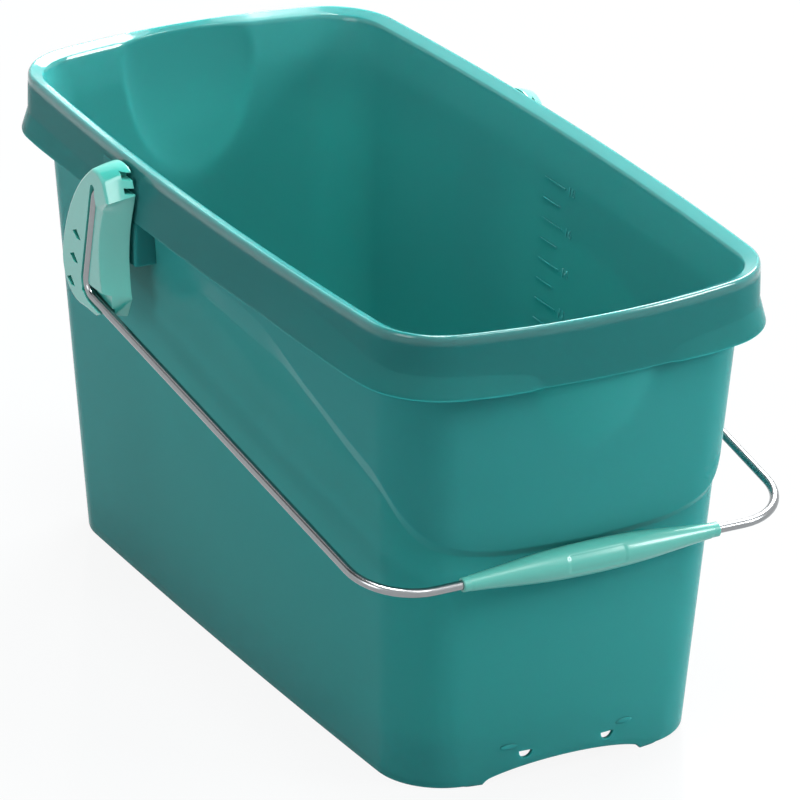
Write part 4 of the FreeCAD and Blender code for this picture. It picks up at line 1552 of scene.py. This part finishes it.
def sheet(name: str, middle: Vector, across: Vector, up: Vector, half: float) -> bpy.types.Object:
    """Make a flat square round a middle, from its two directions and half its width."""
    corners = [middle + across * half * a + up * half * b
               for a, b in ((-1, -1), (1, -1), (1, 1), (-1, 1))]
    return mesh_object(name, np.array(corners), [(0, 1, 2, 3)])


@dataclass(frozen=True)
class Lamp:
    """A square soft light."""

    name: str
    place: tuple[float, float, float]
    size: float
    power: float


@dataclass
class Studio:
    """The pale floor, the soft light and the camera at the photograph's angle."""

    azimuth: float = -28.84
    elevation: float = 23.24
    roll: float = 0.76
    distance: float = 3395.7 * MM
    target: tuple[float, float, float] = (9.65 * MM, -7.16 * MM, 131.2 * MM)
    lens: float = 281.5
    floor_half: float = 9.0
    floor_roughness: float = 0.16
    floor_glow: float = 0.91
    floor_colour: tuple[float, float, float] = (0.34, 0.39, 0.41)
    sky: tuple[float, float, float] = (0.90, 0.95, 1.0)
    sky_strength: float = 0.30
    lamps: tuple[Lamp, ...] = (
        Lamp("key_back", (1.7, 1.4, 2.1), 1.5, 112.0),
        Lamp("top_soft", (-0.3, -0.3, 2.8), 0.9, 74.0),
        Lamp("top_right", (1.3, 0.6, 2.6), 1.6, 25.0),
        Lamp("front_right", (2.3, -2.2, 1.8), 1.0, 86.0),
        Lamp("front_top", (0.5, -1.9, 2.7), 1.0, 26.0),
        Lamp("left_side", (-2.6, -0.8, 1.2), 1.2, 19.0),
    )
    flag_way: tuple[float, float, float] = (-0.443, 0.185, 0.868)
    flag_distance: float = 3.2
    flag_size: float = 2.6

    def camera(self) -> None:
        """Set the camera where the photograph was taken from."""
        turn, rise = math.radians(self.azimuth), math.radians(self.elevation)
        back = Vector((math.sin(turn) * math.cos(rise), -math.cos(turn) * math.cos(rise),
                       math.sin(rise)))
        level = Vector((math.cos(turn), math.sin(turn), 0.0))
        above = back.cross(level)
        roll = math.radians(self.roll)
        right = level * math.cos(roll) + above * math.sin(roll)
        up = above * math.cos(roll) - level * math.sin(roll)
        data = bpy.data.cameras.new("camera")
        data.lens = self.lens
        data.clip_end = 100.0
        camera = place_object("camera", data)
        axes = Matrix((right, up, back)).transposed().to_4x4()
        camera.matrix_world = Matrix.Translation(Vector(self.target) + back * self.distance) @ axes
        bpy.context.scene.camera = camera

    def seen(self, tree: NodeTree) -> Socket:
        """Return a socket that is 1 for rays from the camera and from mirrors and glass."""
        rays = tree.add("ShaderNodeLightPath").outputs
        both = tree.calculate("MAXIMUM", rays["Is Camera Ray"], rays["Is Glossy Ray"])
        return tree.calculate("MAXIMUM", both, rays["Is Transmission Ray"])

    def floor(self) -> None:
        """Lay the pale glossy floor."""
        floor = sheet("floor", Vector(), Vector((1.0, 0.0, 0.0)), Vector((0.0, 1.0, 0.0)),
                      self.floor_half)
        material, tree = new_material("pale_floor")
        lit = tree.add("ShaderNodeBsdfPrincipled", {"Base Color": (*self.floor_colour, 1.0),
                                                    "Roughness": self.floor_roughness})
        glow = tree.add("ShaderNodeEmission", {"Strength": 1.0})
        amount = tree.calculate("MULTIPLY", self.seen(tree), self.floor_glow)
        mix = tree.add("ShaderNodeMixShader", {0: amount, 1: lit.outputs[0], 2: glow.outputs[0]})
        tree.add("ShaderNodeOutputMaterial", {"Surface": mix.outputs[0]})
        floor.data.materials.append(material)

    def flag(self) -> None:
        """Hang a dark panel above on the left, which the long run of the wire mirrors."""
        way = Vector(self.flag_way).normalized()
        level = way.cross(Vector((0.0, 0.0, 1.0))).normalized()
        flag = sheet("studio_flag", Vector(self.target) + way * self.flag_distance, level,
                     level.cross(way), self.flag_size / 2)
        flag.visible_camera = False
        material, tree = new_material("black_cloth")
        cloth = tree.add("ShaderNodeBsdfPrincipled", {"Base Color": (0.02, 0.02, 0.02, 1.0),
                                                      "Roughness": 0.95})
        tree.add("ShaderNodeOutputMaterial", {"Surface": cloth.outputs["BSDF"]})
        flag.data.materials.append(material)

    def world(self) -> None:
        """Set an even sky for the light, and white where the camera looks past the floor."""
        world = bpy.data.worlds.new("studio")
        world.use_nodes = True
        bpy.context.scene.world = world
        tree = NodeTree(world.node_tree)
        sky = tree.add("ShaderNodeBackground", {"Color": (*self.sky, 1.0),
                                                "Strength": self.sky_strength})
        white = tree.add("ShaderNodeBackground", {"Color": (1.0, 1.0, 1.0, 1.0)})
        mix = tree.add("ShaderNodeMixShader",
                       {0: self.seen(tree), 1: sky.outputs[0], 2: white.outputs[0]})
        tree.add("ShaderNodeOutputWorld", {"Surface": mix.outputs[0]})

    def hang(self, lamp: Lamp) -> None:
        """Hang a soft light that points at the bucket."""
        data = bpy.data.lights.new(lamp.name, "AREA")
        data.size = lamp.size
        data.energy = lamp.power
        light = place_object(lamp.name, data)
        light.location = lamp.place
        aim = Vector(self.target) - Vector(lamp.place)
        light.rotation_euler = aim.to_track_quat("-Z", "Y").to_euler()

    def build(self) -> None:
        """Build the floor, the lights, the sky and the camera."""
        bpy.context.scene.view_settings.view_transform = "Standard"
        self.camera()
        self.floor()
        self.flag()
        self.world()
        for lamp in self.lamps:
            self.hang(lamp)


def main() -> None:
    """Build the bucket piece by piece and set it in the studio."""
    logging.basicConfig(level=logging.INFO, format="%(name)s: %(message)s")
    Studio().build()
    finishes = Finishes()
    tub = Tub()
    finishes.dress(tub.build(), Finish.TUB, "tub", "tub")
    for side in Side:
        finishes.dress(Boss(tub, side).build(), Finish.TUB, "tub")
    marks = Graduations(tub)
    finishes.dress(marks.marks(finishes.materials[Finish.TUB]), Finish.TUB, "tub")
    finishes.dress(marks.numbers(), Finish.TUB, "tub")
    finishes.dress(FootNubs(tub).build(finishes.materials[Finish.TUB]), Finish.TUB, "tub")
    wire = BailWire()
    finishes.dress(wire.build(finishes.materials[Finish.STEEL]), Finish.STEEL, "bail", "bail_wire")
    for side in Side:
        finishes.dress(Clip(side, wire).build(), Finish.CLIP, "bail", f"clip_{side.name.lower()}")
    finishes.dress(Grip(wire).build(), Finish.GRIP, "grip", "grip")


if __name__ == "__main__":
    main()
